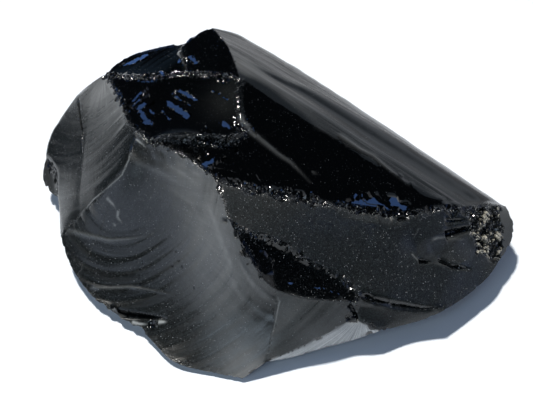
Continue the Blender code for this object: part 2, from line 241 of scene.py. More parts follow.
# Scars: the depth of the hollow in the middle (minus for a swelling) and the ridges around
# it, followed with the stone on the left hand.
FACES = {
    "bulb": (-1.0, [
        "left_brow", "left_edge_1", "notch_inner", "left_edge_2", "-scar_line", "-crest_1",
    ]),
    "shell_scar": (2.0, [
        "scar_line", "left_edge_3", "front_edge_1", "front_edge_2", "-lobe_line", "-crest_5",
        "-crest_4", "-crest_3", "-crest_2",
    ]),
    "lobe": (-1.0, ["lobe_line", "strip_top", "lobe_end", "-pocket_sill"]),
    "strip": (0, ["strip_foot", "strip_end", "-strip_top"]),
    "toe": (0.4, ["-lobe_end", "-strip_end", "toe_edge", "-toe_crease"]),
    "pocket": (2.0, ["crest_5", "pocket_sill", "-pocket_brow"]),
    "shelf": (-0.5, [
        "crest_4", "pocket_brow", "toe_crease", "right_edge", "crust_edge_1", "-fold_rim",
        "crust_edge_3", "-mirror_edge", "-shelf_edge",
    ]),
    "fold": (1.0, ["fold_rim", "crust_edge_2"]),
    "notch": (0.3, ["notch_outer", "-notch_inner"]),
    "crust": (0, [
        "tip_edge", "-roll_end_2", "-roll_end_1", "-crust_edge_3", "-crust_edge_2",
        "-crust_edge_1",
    ]),
    "inner_face": (1.0, ["crest_3", "shelf_edge", "-streak", "-lip_foot"]),
    "lip": (0, ["lip_foot", "-lip_top"]),
    "fan_scar": (1.6, ["crest_1", "crest_2", "lip_top", "-fan_side", "-chip_row_2", "-chip_row_1"]),
    "rear_chip_left": (0.5, ["chip_row_1", "chip_rib", "-rear_edge_1"]),
    "rear_chip_right": (0.6, [
        "chip_row_2", "roll_start_1", "roll_start_2", "-rear_edge_2", "-chip_rib",
    ]),
    "mirror_face": (0, ["streak", "mirror_edge", "-roll_0", "fan_side"]),
    "roll_front": (-0.4, ["roll_0", "roll_end_1", "-roll_1", "-roll_start_1"]),
    "roll_top": (-0.4, ["roll_1", "roll_end_2", "-roll_2", "-roll_start_2"]),
    "roll_back": (-0.6, ["roll_2", "roll_end_3", "-roll_3b", "-roll_3a", "-roll_start_3"]),
    "back_left": (1.0, ["rear_edge_1", "back_rib", "-back_fold", "-corner_drop", "-left_brow"]),
    "back_corner": (0.5, ["rear_edge_2", "roll_start_3", "back_corner", "-back_rib"]),
    "back_foot": (0.5, ["back_fold", "fold_drop", "rest_7", "-left_back_drop"]),
    "back_middle": (1.5, ["roll_3a", "back_spine", "rest_6", "-fold_drop", "-back_corner"]),
    "back_right": (1.5, ["roll_3b", "tip_drop", "rest_5", "-back_spine"]),
    "under_right": (1.0, [
        "toe_drop", "rest_4", "-tip_drop", "-roll_end_3", "-tip_edge", "-right_edge",
        "-toe_edge",
    ]),
    "under_strip": (0.3, ["-strip_foot", "-front_edge_2", "front_drop", "rest_3", "-toe_drop"]),
    "under_front": (0.2, ["-front_edge_1", "left_drop", "rest_2", "-front_drop"]),
    "under_left_front": (0.2, ["-left_edge_3", "scar_drop", "rest_1", "-left_drop"]),
    "under_left": (0.8, [
        "-left_edge_2", "-notch_outer", "-left_edge_1", "corner_drop", "left_back_drop",
        "rest_8", "-scar_drop",
    ]),
    "rest": (0, [
        "-rest_1", "-rest_8", "-rest_7", "-rest_6", "-rest_5", "-rest_4", "-rest_3", "-rest_2",
    ]),
}


CURVE_STEPS = 24           # points of the smooth line between two given ones


def ridge_line(names):
    """Evenly spaced points of the smooth line through a ridge's points (Catmull-Rom)."""
    points = [np.array(JUNCTIONS[p] if isinstance(p, str) else p, float) for p in names]
    padded = [2 * points[0] - points[1]] + points + [2 * points[-1] - points[-2]]
    dense = []
    for p0, p1, p2, p3 in zip(padded, padded[1:], padded[2:], padded[3:]):
        for t in np.linspace(0, 1, CURVE_STEPS, endpoint=False):
            dense.append(0.5 * (
                2 * p1
                + (p2 - p0) * t
                + (2 * p0 - 5 * p1 + 4 * p2 - p3) * t * t
                + (3 * p1 - p0 - 3 * p2 + p3) * t ** 3
            ))
    dense = np.array(dense + [points[-1]])
    run = np.concatenate([[0], np.cumsum(np.linalg.norm(np.diff(dense, axis=0), axis=1))])
    steps = max(1, round(run[-1] / SPACING))
    stations = np.linspace(0, run[-1], steps + 1)
    return np.stack([np.interp(stations, run, dense[:, k]) for k in range(3)], axis=1)


points = []
number_of = {}


def number(point):
    """Index of a skin point, the same for every patch that touches it."""
    key = tuple(np.round(point, 4))
    if key not in number_of:
        number_of[key] = len(points)
        points.append(np.array(point, float))
    return number_of[key]


ridge_numbers = {name: [number(p) for p in ridge_line(way)] for name, way in RIDGES.items()}


def loop_numbers(ridges):
    """Points around a scar, in order; a leading minus runs the ridge backwards."""
    loop = []
    for ridge in ridges:
        part = ridge_numbers[ridge.lstrip("-")]
        if ridge.startswith("-"):
            part = part[::-1]
        assert not loop or loop[-1] == part[0], ridge + " doesn't join the ridge before it"
        loop += part[1:] if loop else part
    assert loop[0] == loop[-1], "the loop ending with " + ridge + " is open"
    return loop[:-1]


CLEARANCE = 0.55           # of the spacing, between the rim of a patch and the points inside it
ROW_HEIGHT = 0.866         # of the spacing, between two rows of a triangular grid


def lattice(rim):
    """Points of a triangular grid inside a flat loop, kept clear of its edge."""
    after = np.roll(rim, -1, axis=0)
    step = after - rim
    found = []
    row = 0
    y = rim[:, 1].min() + SPACING * 0.3
    while y < rim[:, 1].max():
        x = rim[:, 0].min() + (SPACING / 2 if row % 2 else 0)
        while x < rim[:, 0].max():
            spot = np.array((x, y))
            crosses = (rim[:, 1] > y) != (after[:, 1] > y)
            height = np.where(crosses, step[:, 1], 1.0)
            at = rim[:, 0] + step[:, 0] * (y - rim[:, 1]) / height
            inside = np.count_nonzero(crosses & (x < at)) % 2 == 1
            share = ((spot - rim) * step).sum(1) / (step * step).sum(1)
            beside = rim + step * np.clip(share, 0, 1)[:, None]
            if inside and np.linalg.norm(beside - spot, axis=1).min() > SPACING * CLEARANCE:
                found.append(spot)
            x += SPACING
        y += SPACING * ROW_HEIGHT
        row += 1
    return np.array(found).reshape(-1, 2)


def stiffness(flat, triangles):
    """Cotangent matrix and point areas of a flat triangulation, for stretching a skin."""
    matrix = np.zeros((len(flat), len(flat)))
    area = np.zeros(len(flat))
    for triangle in triangles:
        for k in range(3):
            i, j, far = triangle[k], triangle[(k + 1) % 3], triangle[(k + 2) % 3]
            a = flat[i] - flat[far]
            b = flat[j] - flat[far]
            doubled = max(abs(a[0] * b[1] - a[1] * b[0]), 1e-9)
            # Clipped, so that no sliver pulls much harder than a well-shaped triangle.
            cotangent = np.clip((a @ b) / doubled, -0.2, 6)
            matrix[i, j] += cotangent / 2
            matrix[j, i] += cotangent / 2
            area[i] += doubled / 6
    return matrix - np.diag(matrix.sum(1)), area


skin = []
skin_scar = []
for name, (hollow, ridges) in FACES.items():
    loop = loop_numbers(ridges)
    rim = np.array([points[i] for i in loop])
    middle = rim.mean(0)
    normal = np.cross(rim - middle, np.roll(rim, -1, axis=0) - middle).sum(0)
    normal /= np.linalg.norm(normal)
    side = np.cross(normal, (0, 0, 1) if abs(normal[2]) < 0.9 else (0, 1, 0))
    side /= np.linalg.norm(side)
    rise = np.cross(normal, side)
    rim_flat = np.stack([(rim - middle) @ side, (rim - middle) @ rise], axis=1)
    inner = lattice(rim_flat) if name != "rest" else np.zeros((0, 2))
    flat = np.vstack([rim_flat, inner])
    count = len(loop)
    edges = [(i, (i + 1) % count) for i in range(count)]
    filled = delaunay_2d_cdt([Vector(p) for p in flat], edges, [list(range(count))], 1, 1e-5)
    source = [origin[0] for origin in filled[3]]
    triangles = [[source[i] for i in face] for face in filled[2]]

    # Stretch the skin over the rim, then press it in by the scar's depth.
    matrix, area = stiffness(flat, triangles)
    height = np.zeros(len(flat))
    height[:count] = (rim - middle) @ normal
    free = slice(count, None)
    if len(inner):
        height[free] = np.linalg.solve(matrix[free, free], -matrix[free, :count] @ height[:count])
        dish = np.linalg.solve(matrix[free, free], -area[free])
        height[free] -= hollow * dish / dish.max()
    numbers = list(loop)
    for spot, lifted in zip(inner, height[free]):
        numbers.append(number(middle + side * spot[0] + rise * spot[1] + normal * lifted))
    for a, b, c in triangles:
        u, v, w = flat[a], flat[b], flat[c]
        left_turn = (v[0] - u[0]) * (w[1] - u[1]) > (v[1] - u[1]) * (w[0] - u[0])
        skin.append([numbers[i] for i in ((a, b, c) if left_turn else (a, c, b))])
        skin_scar.append(list(FACES).index(name))


# ---------------------------------------------------------------- the fine skin
# Fresh glass breaks in surfaces as smooth as a lens, so between the ridges the skin is split
# finer and evened out: finest where the edges are crushed, coarse where the glass is a mirror.

SOFT_RIDGES = {"roll_0", "roll_1", "roll_2", "scar_line", "lobe_line", "streak"}
COARSE_SCARS = {
    "rest", "back_left", "back_corner", "back_foot", "back_middle", "back_right", "under_right",
    "under_strip", "under_front", "under_left_front", "under_left",
}
FINEST_SCARS = {"fan_scar", "rear_chip_left", "rear_chip_right", "lip", "crust", "notch", "fold"}
BARELY_CRUSHED = 0.12      # how badly the edges that CRUSHED leaves out are broken
CRUSHED = {
    # ridge: how badly its edge is broken, from 0 to 1
    "crest_1": 0.35, "crest_2": 0.8, "crest_3": 0.7, "crest_4": 0.5, "crest_5": 0.3,
    "shelf_edge": 0.7, "mirror_edge": 0.6, "chip_row_1": 0.3, "chip_row_2": 0.4, "lip_top": 0.7,
    "lip_foot": 0.5, "chip_rib": 0.12, "fan_side": 0.35, "crust_edge_1": 0.5, "crust_edge_2": 0.6,
    "crust_edge_3": 0.7, "tip_edge": 0.35, "roll_end_1": 0.5, "roll_end_2": 0.3,
    "pocket_brow": 0.08, "lobe_end": 0.6, "strip_end": 0.6, "rear_edge_1": 0.3,
    "rear_edge_2": 0.3, "fold_rim": 0.0,
    "notch_outer": 0.5, "notch_inner": 0.5, "back_rib": 0.3, "back_fold": 0.3, "roll_3a": 0.3,
    "roll_3b": 0.4, "toe_edge": 0.08, "right_edge": 0.12, "pocket_sill": 0.05, "front_edge_1": 0.35,
    "left_edge_3": 0.3, "left_edge_1": 0.2, "left_brow": 0.2, "left_edge_2": 0.2,
}
LINES = {
    # line: its route, half its width, its height (minus for a groove), how pale it is; the paleness
    # of the two glints is a painted highlight
    "bulb crack": (
        [(-47.5, 32, 16.2), (-46.1, 23.6, 16.8), (-44.9, 18.2, 17), (-44.4, 12, 15.9)],
        0.22, -0.5, 0),
    "first ledge": (
        [(-47, -4.5, 7), (-44.8, -6.2, 8), (-40.9, -8.6, 9.2), (-36, -11.1, 10.4),
         (-31.2, -12.4, 12.2), (-26.6, -13.4, 14.2)], 0.5, 0.13, 0.15),
    "second ledge": (
        [(-41, -19, 3.5), (-35.6, -20.4, 4.9), (-31, -21.2, 6.2), (-26.4, -22.9, 7.1),
         (-21.8, -24.7, 7.9)], 0.35, 0.18, 0.15),
    "slit": (
        [(-36, -25.3, 2.6), (-30.7, -26.7, 3.2), (-26.2, -28, 4.1), (-22.8, -29, 4.7)],
        0.5, -1.6, 0),
    "long rib": (
        [(-7.6, 7.8, 31.9), (-6.4, 5.3, 31.3), (-4.2, 2.8, 30.2), (-1.4, 0.7, 29),
         (1.4, -1.4, 27.8), (4.4, -3.2, 26.6), (6.6, -5.3, 25.5), (8.4, -7.3, 24.6)],
        0.52, 0.22, 0.16),
    "short rib": (
        [(14.5, 7.3, 26.5), (20, 3.8, 24.4), (22.9, 2.8, 23.4), (25.6, 0.3, 22.2),
         (28.4, -1.9, 21.1), (30.6, -3.7, 20.2)], 0.55, 0.18, 0.08),
    "chip rib": ([(-22, 33, 29.9), (-20.1, 25.6, 31.3), (-19.6, 23.3, 31.5)], 0.35, 0.22, 0.12),
    "tap mark": ([(8.9, -4.7, 25.1), (10.7, -4.7, 24.7)], 0.15, 0.05, 0.4),
    "toe crease": (
        [(18, -28.7, 12.8), (22.8, -29.4, 11.2), (27.2, -29.2, 9.3), (32.4, -28.6, 7.6),
         (37, -27.6, 6.8)], 0.8, -1.2, 0),
    "dark tongue": ([(-9, -20, 25.6), (-10.7, -18.7, 24.7), (-12.2, -18.3, 24.4)], 0.4, -0.7, 0.0),
    "knocked crack": (
        [(16.1, -30.7, 11.7), (16.9, -30.9, 10.7), (17.8, -31.7, 9), (18.8, -32.6, 7.4)],
        0.45, -0.9, 0),
    "fold gash": (
        [(38.1, -13.5, 14.1), (40.3, -12.5, 14), (43.2, -11.1, 13.7), (46, -9.7, 13.3)],
        0.9, -1.7, 0),
    "fold dash": ([(30.3, -18.3, 13.9), (32.3, -19.8, 12.3)], 0.18, 0.12, 0.35),
    "fold nick": ([(31.8, -19.4, 12.6), (34.9, -18.9, 11.7)], 0.5, -0.8, 0.0),
    "fold line": (
        [(36.2, -17.7, 11.5), (37.9, -18.1, 10.7), (39.5, -18.6, 10.1), (41.6, -18.4, 9.4),
         (43.8, -18, 8.6)], 0.5, -0.9, 0),
    "fold lip": (
        [(34.7, -15.1, 14.3), (36.1, -14.3, 14.4), (38, -13.6, 13.9), (41.8, -12.9, 12.4),
         (44.6, -12.2, 12)], 0.25, 0.16, 0.3),
    "fold hollow": ([(38.2, -10.9, 16.2), (41, -10, 15.5), (44, -9, 14.8)], 0.7, -0.5, 0.0),
    # Painted highlights: two glints of light below the slit, drawn as pale lines.
    "first glint": (
        [(-30.4, -28.1, 2.6), (-28.6, -28.8, 2.7), (-26.8, -29.2, 3.1)], 0.32, 0.05, 0.9),
    "second glint": ([(-24.4, -29.3, 4.0), (-22.4, -29.7, 4.5)], 0.36, 0.05, 0.9),
    "first scuff": (
        [(-36.9, -4.2, 17.1), (-35.3, -5.7, 16.4), (-34.6, -6.6, 15.8)], 0.35, 0.03, 0.35),
    "second scuff": (
        [(-33.9, -6.8, 15.7), (-34.3, -8.0, 14.6), (-33.1, -9.2, 14.0)], 0.30, 0.03, 0.40),
    "third scuff": ([(-34.6, -9.2, 13.0), (-35.8, -8.4, 13.4)], 0.25, 0.02, 0.30),
    "crest scratch": (
        [(-30.2, 3.9, 27.4), (-28.2, 1.8, 27.4), (-27.4, 0.6, 27.3)], 0.20, 0.05, 0.6),
    "knock": ([(32.3, -13.2, 16.7), (30.6, -15.9, 15.2)], 0.12, 0.03, 0.12),
    "lobe crack": (
        [(1.1, -30.4, 14.3), (1.7, -31.1, 13.2), (1.3, -32.1, 11.4), (1, -33.1, 9.9),
         (0.2, -35.3, 7.2), (-0.3, -37.8, 4.8)], 0.13, -0.08, 0.3),
    "bulb edge": (
        [(-31.1, 2.1, 26.2), (-31.4, -0.4, 24.9), (-33, -2.4, 22.2), (-35.9, -2.9, 19.3),
         (-40, -2.9, 15.3), (-42.8, -3.4, 11.6), (-46.4, -5, 7.3)], 0.16, 0.1, 0.45),
}
scar_names = list(FACES)
ridge_names = list(RIDGES)
places = np.array(points)
triangles = np.array(skin)
scar = np.array(skin_scar)
ridge_edges = []
ridge_of_edge = []
for name, line in ridge_numbers.items():
    ridge_edges += [(a, b) for a, b in zip(line, line[1:])]
    ridge_of_edge += [ridge_names.index(name)] * (len(line) - 1)
ridge_edges = np.sort(np.array(ridge_edges), axis=1)
ridge_of_edge = np.array(ridge_of_edge)
is_soft = np.array([name in SOFT_RIDGES for name in ridge_names])
crush_of_ridge = np.array([CRUSHED.get(name, BARELY_CRUSHED) for name in ridge_names])


def all_edges(triangles):
    """Edges of the triangles, each once, and where each triangle's own three are in them."""
    sides = np.vstack([triangles[:, [0, 1]], triangles[:, [1, 2]], triangles[:, [2, 0]]])
    edges, back = np.unique(np.sort(sides, axis=1), axis=0, return_inverse=True)
    return edges, back.reshape(3, -1)


def average(values, edges):
    """Each point's mean over its neighbours along the edges, and how many it has."""
    total = np.zeros_like(values)
    count = np.zeros(len(values))
    for a, b in (edges.T, edges.T[::-1]):
        np.add.at(total, a, values[b])
        np.add.at(count, a, 1)
    return total / np.maximum(count, 1)[:, None], count


def edge_keys(edges):
    """One number for each edge, to look it up by."""
    return edges[:, 0] * len(places) + edges[:, 1]


def search_tree(targets):
    """A tree that finds the nearest of these points, or those within reach."""
    tree = kdtree.KDTree(len(targets))
    for i, target in enumerate(targets):
        tree.insert(target, i)
    tree.balance()
    return tree


def nearest(places, targets):
    """How far each place is from the nearest target, and which target that is."""
    tree = search_tree(targets)
    hits = [tree.find(place) for place in places]
    return np.array([hit[2] for hit in hits]), np.array([hit[1] for hit in hits])


def from_line(places, route):
    """How far each place is from a route through points, and how far along it, 0 to 1."""
    route = np.array(route, float)
    legs = np.linalg.norm(np.diff(route, axis=0), axis=1)
    best = np.full(len(places), np.inf)
    along = np.zeros(len(places))
    for a, b, leg, before in zip(route, route[1:], legs, np.cumsum(legs) - legs):
        share = np.clip((places - a) @ (b - a) / leg**2, 0, 1)
        far = np.linalg.norm(places - (a + share[:, None] * (b - a)), axis=1)
        closer = far < best
        best[closer] = far[closer]
        along[closer] = (before + share * leg)[closer] / legs.sum()
    return best, along


def split(triangles, wanted):
    """Halves every edge of the wanted triangles; a triangle with one halved edge becomes two."""
    edges, back = all_edges(triangles)
    halved = np.zeros(len(edges), bool)
    halved[back[:, wanted]] = True
    while True:
        pair = halved[back].sum(axis=0) == 2
        if not pair.any():
            break
        halved[back[:, pair]] = True
    middle = np.full(len(edges), -1)
    middle[halved] = len(places) + np.arange(halved.sum())
    count = halved[back].sum(axis=0)
    of = [np.nonzero(count == 0)[0]]
    parts = [triangles[of[0]]]
    for side in range(3):
        chosen = np.nonzero((count == 1) & halved[back[side]])[0]
        a, b, c = (triangles[chosen, (side + k) % 3] for k in range(3))
        m = middle[back[side, chosen]]
        parts += [np.stack([a, m, c], axis=1), np.stack([m, b, c], axis=1)]
        of += [chosen, chosen]
    chosen = np.nonzero(count == 3)[0]
    a, b, c = triangles[chosen].T
    ab, bc, ca = middle[back[:, chosen]]
    for corner in ((a, ab, ca), (ab, b, bc), (ca, bc, c), (ab, bc, ca)):
        parts.append(np.stack(corner, axis=1))
        of.append(chosen)
    return edges, halved, middle, np.vstack(parts), np.concatenate(of)


is_coarse = np.isin(scar_names, sorted(COARSE_SCARS))
is_finest = np.isin(scar_names, sorted(FINEST_SCARS))
is_mirror = np.isin(scar_names, ["mirror_face"])
is_brittle = ~is_soft & (crush_of_ridge > 0.2)
ALL_OVER, MOST, FINEST = 1, 2, 3
NEAR, CLOSE = 2.4, 1.3     # distances from a brittle ridge within which the skin is split finer
CLOSE_TO_LINE = 0.8        # and from one of the lines
for level, rounds in ((ALL_OVER, 6), (MOST, 8), (FINEST, 3)):
    brittle = np.unique(ridge_edges[is_brittle[ridge_of_edge]])
    middles = places[triangles].mean(axis=1)
    rim, _ = nearest(middles, places[brittle])
    if level == ALL_OVER:
        wanted = np.ones(len(triangles), bool)
    elif level == MOST:
        wanted = ~(is_coarse | is_mirror)[scar] | (rim < NEAR)
    else:
        to_line = np.min([from_line(middles, line[0])[0] for line in LINES.values()], axis=0)
        close = (rim < CLOSE) | (to_line < CLOSE_TO_LINE)
        wanted = ~is_coarse[scar] & (is_finest[scar] | close)
    edges, halved, middle, triangles, of = split(triangles, wanted)
    scar = scar[of]
    at = np.searchsorted(edge_keys(edges), edge_keys(ridge_edges))
    places = np.vstack([places, places[edges[halved]].mean(axis=1)])
    cut = halved[at]
    ridge_edges = np.vstack([
        ridge_edges[~cut],
        np.stack([ridge_edges[cut, 0], middle[at[cut]]], axis=1),
        np.stack([ridge_edges[cut, 1], middle[at[cut]]], axis=1),
    ])
    ridge_of_edge = np.concatenate([ridge_of_edge[~cut], ridge_of_edge[cut], ridge_of_edge[cut]])
    ridge_edges = np.sort(ridge_edges, axis=1)
    edges, _ = all_edges(triangles)
    hard = ridge_edges[~is_soft[ridge_of_edge]]
    on_ridge = np.zeros(len(places), bool)
    on_ridge[hard] = True
    for _ in range(rounds):
        around, _ = average(places, edges)
        along, links = average(places, hard)
        shift = np.where(on_ridge[:, None], along, around) - places
        shift[on_ridge & (links != 2)] = 0
        places = places + 0.5 * shift


# ---------------------------------------------------------------- ripples and flutes
# A blow leaves rings around the point it struck, like a stone in water. The older rounded edge
# has flutes along its whole length.

STRIKE = {
    # scar: point struck, height of the rings, their spacing
    "shell_scar": ((-33, -1, 21), 0.20, 3.1),
    "lobe": ((-30, 6, 28), 0.05, 5.2),
    "bulb": ((-41, 34, 22), 0.10, 4.2),
    "fan_scar": ((-24, 2.5, 29), 0.045, 1.6),
    "rear_chip_left": ((-22, 22, 30), 0.03, 2.6),
    "rear_chip_right": ((-14, 18, 33), 0.03, 2.0),
    "inner_face": ((-6, 4, 31), 0.04, 4.5),
    "shelf": ((-12, -10, 28), 0.04, 6.0),
    "toe": ((18, -30, 12), 0.08, 3.0),
    "pocket": ((-9, -20, 26), 0.05, 5.0),
    "fold": ((44, -11, 13), 0.10, 3.6),
    "back_left": ((-22, 37, 29), 0.16, 4.6),
    "back_corner": ((-15, 40, 30), 0.10, 3.0),
    "back_foot": ((-18, 41, 13), 0.12, 3.6),
    "back_middle": ((-13, 42, 24), 0.22, 5.4),
    "back_right": ((21, 24, 15), 0.18, 4.4),
    "under_right": ((54, -9, 7), 0.14, 4.4),
    "under_left": ((-51, 8, 5), 0.10, 3.6),
    "strip": ((19, -31, 9), 0.04, 3.0),
}
scar_of_point = np.zeros(len(places), int)
scar_of_point[triangles] = scar[:, None]


def on(*names):
    """The points that lie on the named scars."""
    return np.isin(scar_names, names)[scar_of_point]


def ridge_points(*names):
    """The points that lie on the named ridges."""
    return np.unique(ridge_edges[np.isin(ridge_names, names)[ridge_of_edge]])


def from_ridges(*names):
    """How far each point is from the named ridges."""
    return nearest(places, places[ridge_points(*names)])[0]


def unit(vectors):
    """The same directions, each one long."""
    return vectors / np.maximum(np.linalg.norm(vectors, axis=1, keepdims=True), 1e-12)


def triangle_normals():
    """The way each triangle faces, as long as twice its area."""
    a, b, c = places[triangles].transpose(1, 0, 2)
    return np.cross(b - a, c - a)


def point_normals():
    """The way the skin faces at each of its points."""
    face = triangle_normals()
    normals = np.zeros_like(places)
    for corner in triangles.T:
        np.add.at(normals, corner, face)
    return unit(normals)


def smoothstep(low, high, value):
    """Smooth step from 0 at low to 1 at high, where low may be the larger."""
    t = np.clip((value - low) / (high - low), 0, 1)
    return t * t * (3 - 2 * t)


def grain(places, size, seed):
    """Smooth noise from -1 to 1 whose lumps are about size millimetres across."""
    shift = Vector((seed * 17.3, seed * 5.1, seed * 9.7))
    to_full_range = 1.6
    return np.array([noise.noise(Vector(p) / size + shift) for p in places]) * to_full_range


# How far each point is from the nearest sharp ridge, and how badly that ridge is broken.
hard_points = np.unique(hard)
rim, at = nearest(places, places[hard_points])
crush_of_point = np.zeros(len(places))
is_hard = ~is_soft[ridge_of_edge]
for end in (0, 1):
    np.maximum.at(crush_of_point, ridge_edges[is_hard, end], crush_of_ridge[ridge_of_edge[is_hard]])
crush = crush_of_point[hard_points[at]]

# Lift raises the skin. Along is measured away from the point struck, or down the rounded edge,
# and across is measured round it; the streaks of the glass follow them.
FAN_REACH = 14             # distance from the point struck at which across is true to size
normals = point_normals()
lift = np.zeros(len(places))
across = np.zeros(len(places))
along = np.zeros(len(places))
for seed, (name, (struck, size, spacing)) in enumerate(STRIKE.items()):
    chosen = on(name)
    spot = places[chosen]
    out = spot - np.array(struck)
    facing = normals[chosen].mean(axis=0)
    sideways = np.cross(facing, (0, 0, 1) if abs(facing[2]) < 0.9 else (0, 1, 0))
    sideways /= np.linalg.norm(sideways)
    across[chosen] = FAN_REACH * np.arctan2(out @ sideways, out @ np.cross(sideways, facing))
    along[chosen] = np.linalg.norm(out, axis=1)
    turn = (along[chosen] + 0.9 * grain(spot, 16, seed)) * 2 * np.pi / spacing
    wave = np.sin(turn) + 0.35 * np.sin(2 * turn + 0.7) + 0.5 * np.sin(0.58 * turn + 4)
    patchy = 0.25 + 0.75 * smoothstep(-0.5, 0.6, grain(spot, 13, seed + 40))
    lift[chosen] = 0.5 * size * wave * patchy * smoothstep(4, 13, along[chosen])
large_scar = on("shell_scar")
lift[large_scar] *= (0.35 + 0.65 * smoothstep(10, 26, -places[:, 0]))[large_scar]

# Flutes of the rounded edge: long grooves side by side, a few broad and many fine.
ROLL_REACH = 16            # radius of the rounding at which across is true to size
from_start = places - np.array(JUNCTIONS["roll_start"])
roll_turn = np.arctan2(from_start @ roll_across, from_start @ roll_up + ROLL_RADIUS_START)
fluted = on("roll_front", "roll_top", "roll_back")
across[fluted] = ROLL_REACH * roll_turn[fluted]
along[fluted] = (from_start @ roll_axis)[fluted]
flute_at = np.stack([across, 0.03 * along, 0 * along], axis=1)[fluted]
for height, width, seed in ((0.26, 6.5, 5), (0.08, 2.6, 6), (0.015, 0.9, 7)):
    lift[fluted] += height * grain(flute_at, width, seed)

# One flute is flatter than the rest and widens towards the tip.
from_lane = across - 6.0 - 1.9 * smoothstep(3, 17, along)
lane_half = 0.6 + 0.06 * np.clip(along, 0, 32)
flatter = 0.27 * from_lane * np.exp(-0.5 * (from_lane / lane_half) ** 2) * smoothstep(-4, 6, along)
lift[fluted] += (flatter * smoothstep(0.2, 2.5, rim))[fluted]

# Folds of the large scar beside its sharp crest, where the glass was bent before it broke.
FOLD_REACH = 11            # from the crest to the end of the folds
from_crest = from_ridges("crest_2", "crest_3", "crest_4", "crest_5")
feather = np.stack([from_crest, 0.12 * places[:, 1], 0.12 * places[:, 2]], axis=1)
by_crest = large_scar & (from_crest < FOLD_REACH)
folds = 0.12 * grain(feather[by_crest], 1.6, 8)
lift[by_crest] += folds * smoothstep(FOLD_REACH, 4, from_crest[by_crest])
lift *= smoothstep(0.2, 2.0, rim)


# ---------------------------------------------------------------- ledges, ribs and cracks
# Lines that stand alone: steps where the break jumped from one level to the next, thin ribs left
# between two breaks, the cracks that never opened and the scratches of later knocks. Two pale
# lines below the slit are painted glints.

DEEP = -0.3                # a groove at least this deep has black, glossy walls: fresh glass, with painted shade in the groove
pale_lines_and_glints = np.zeros(len(places))
groove_gloss_and_shade = np.zeros(len(places))
for route, half_width, height, paleness in LINES.values():
    far, share = from_line(places, route)
    near = far < 4 * half_width + 1
    share = share[near]
    tapered = half_width * (1.2 - 0.7 * share)
    profile = np.exp(-(far[near] / tapered) ** 2) * smoothstep(0, 0.12, share)
    profile *= smoothstep(1, 0.6, share) * 0.8 + 0.2
    if height < DEEP:
        profile *= 1 + 0.2 * grain(places[near], 1.6, 90)
        groove_gloss_and_shade[near] = np.maximum(groove_gloss_and_shade[near], profile)
    lift[near] += height * profile
    pale_lines_and_glints[near] = np.maximum(pale_lines_and_glints[near], paleness * profile)

# Between the gashes of the fold the glass stands up in a low knob.
KNOB, KNOB_RADIUS, KNOB_HEIGHT = (40.5, -15.2, 12), 3.2, 0.7
far = np.linalg.norm(places - KNOB, axis=1)
lift += KNOB_HEIGHT * np.exp(-(far / KNOB_RADIUS) ** 2)

# Beside the shelf the mirror face bends down in ragged steps, where small flakes were pressed off.
drawn_out = places * (1, 0.2, 0.2)
ragged = 4.2 + 1.6 * grain(drawn_out, 1.5, 9) + 0.8 * grain(drawn_out, 0.6, 10)
ragged *= smoothstep(14, 18, places[:, 0]) * smoothstep(33, 28, places[:, 0]) + 0.001
bent = on("mirror_face") | on("shelf")
reach = np.where(on("shelf"), 2.5, ragged)
lift[bent] -= (0.19 * ragged * np.clip(1 - from_ridges("mirror_edge") / reach, 0, 1))[bent]

# The toe leans back below the shelf, and the far flank of the bulb is rounder than the rest.
TOE_TURN, FLANK_TURN = 7, -44      # the height and the place along the chunk where these begin
toe, flank = on("toe"), on("bulb") & (places[:, 0] < FLANK_TURN)
lift[toe] -= (0.12 * (places[:, 2] - TOE_TURN) * smoothstep(0, 1.5, rim))[toe]
lift[flank] += (0.13 * (FLANK_TURN - places[:, 0]) * smoothstep(0, 2.0, rim))[flank]

# The step below the upper scar is crumbled all over, and so are the lips of the fresh scars.
CRUMBLED_LIPS = [
    # scar, the ridge it is crumbled along, how far the crumbling reaches
    ("inner_face", "shelf_edge", 3.4), ("rear_chip_left", "chip_row_1", 1.6),
    ("fan_scar", "chip_row_1", 1.0), ("rear_chip_right", "chip_row_2", 1.2),
    ("mirror_face", "mirror_edge", 0.9), ("pocket", "pocket_brow", 1.5), ("pocket", "crest_4", 1.6),
]
crumble = on("lip") * smoothstep(0.0, 0.6, rim)
uneven = 1 + 0.4 * grain(places, 2.5, 65)
for name, ridge, reach in CRUMBLED_LIPS:
    fading = smoothstep(reach * uneven, 0.5 * (reach * uneven), from_ridges(ridge))
    crumble = np.maximum(crumble, on(name) * fading)
broken_up = crumble > 0
lift[broken_up] += crumble[broken_up] * (
    0.18 * grain(places[broken_up], 1.1, 61) + 0.28 * grain(places[broken_up], 0.5, 62)
)


# ---------------------------------------------------------------- small facets
# Where thin glass snapped off the upper scars it left narrow flat facets, turned a little away
# from the scar around them, so each one mirrors another piece of the sky.

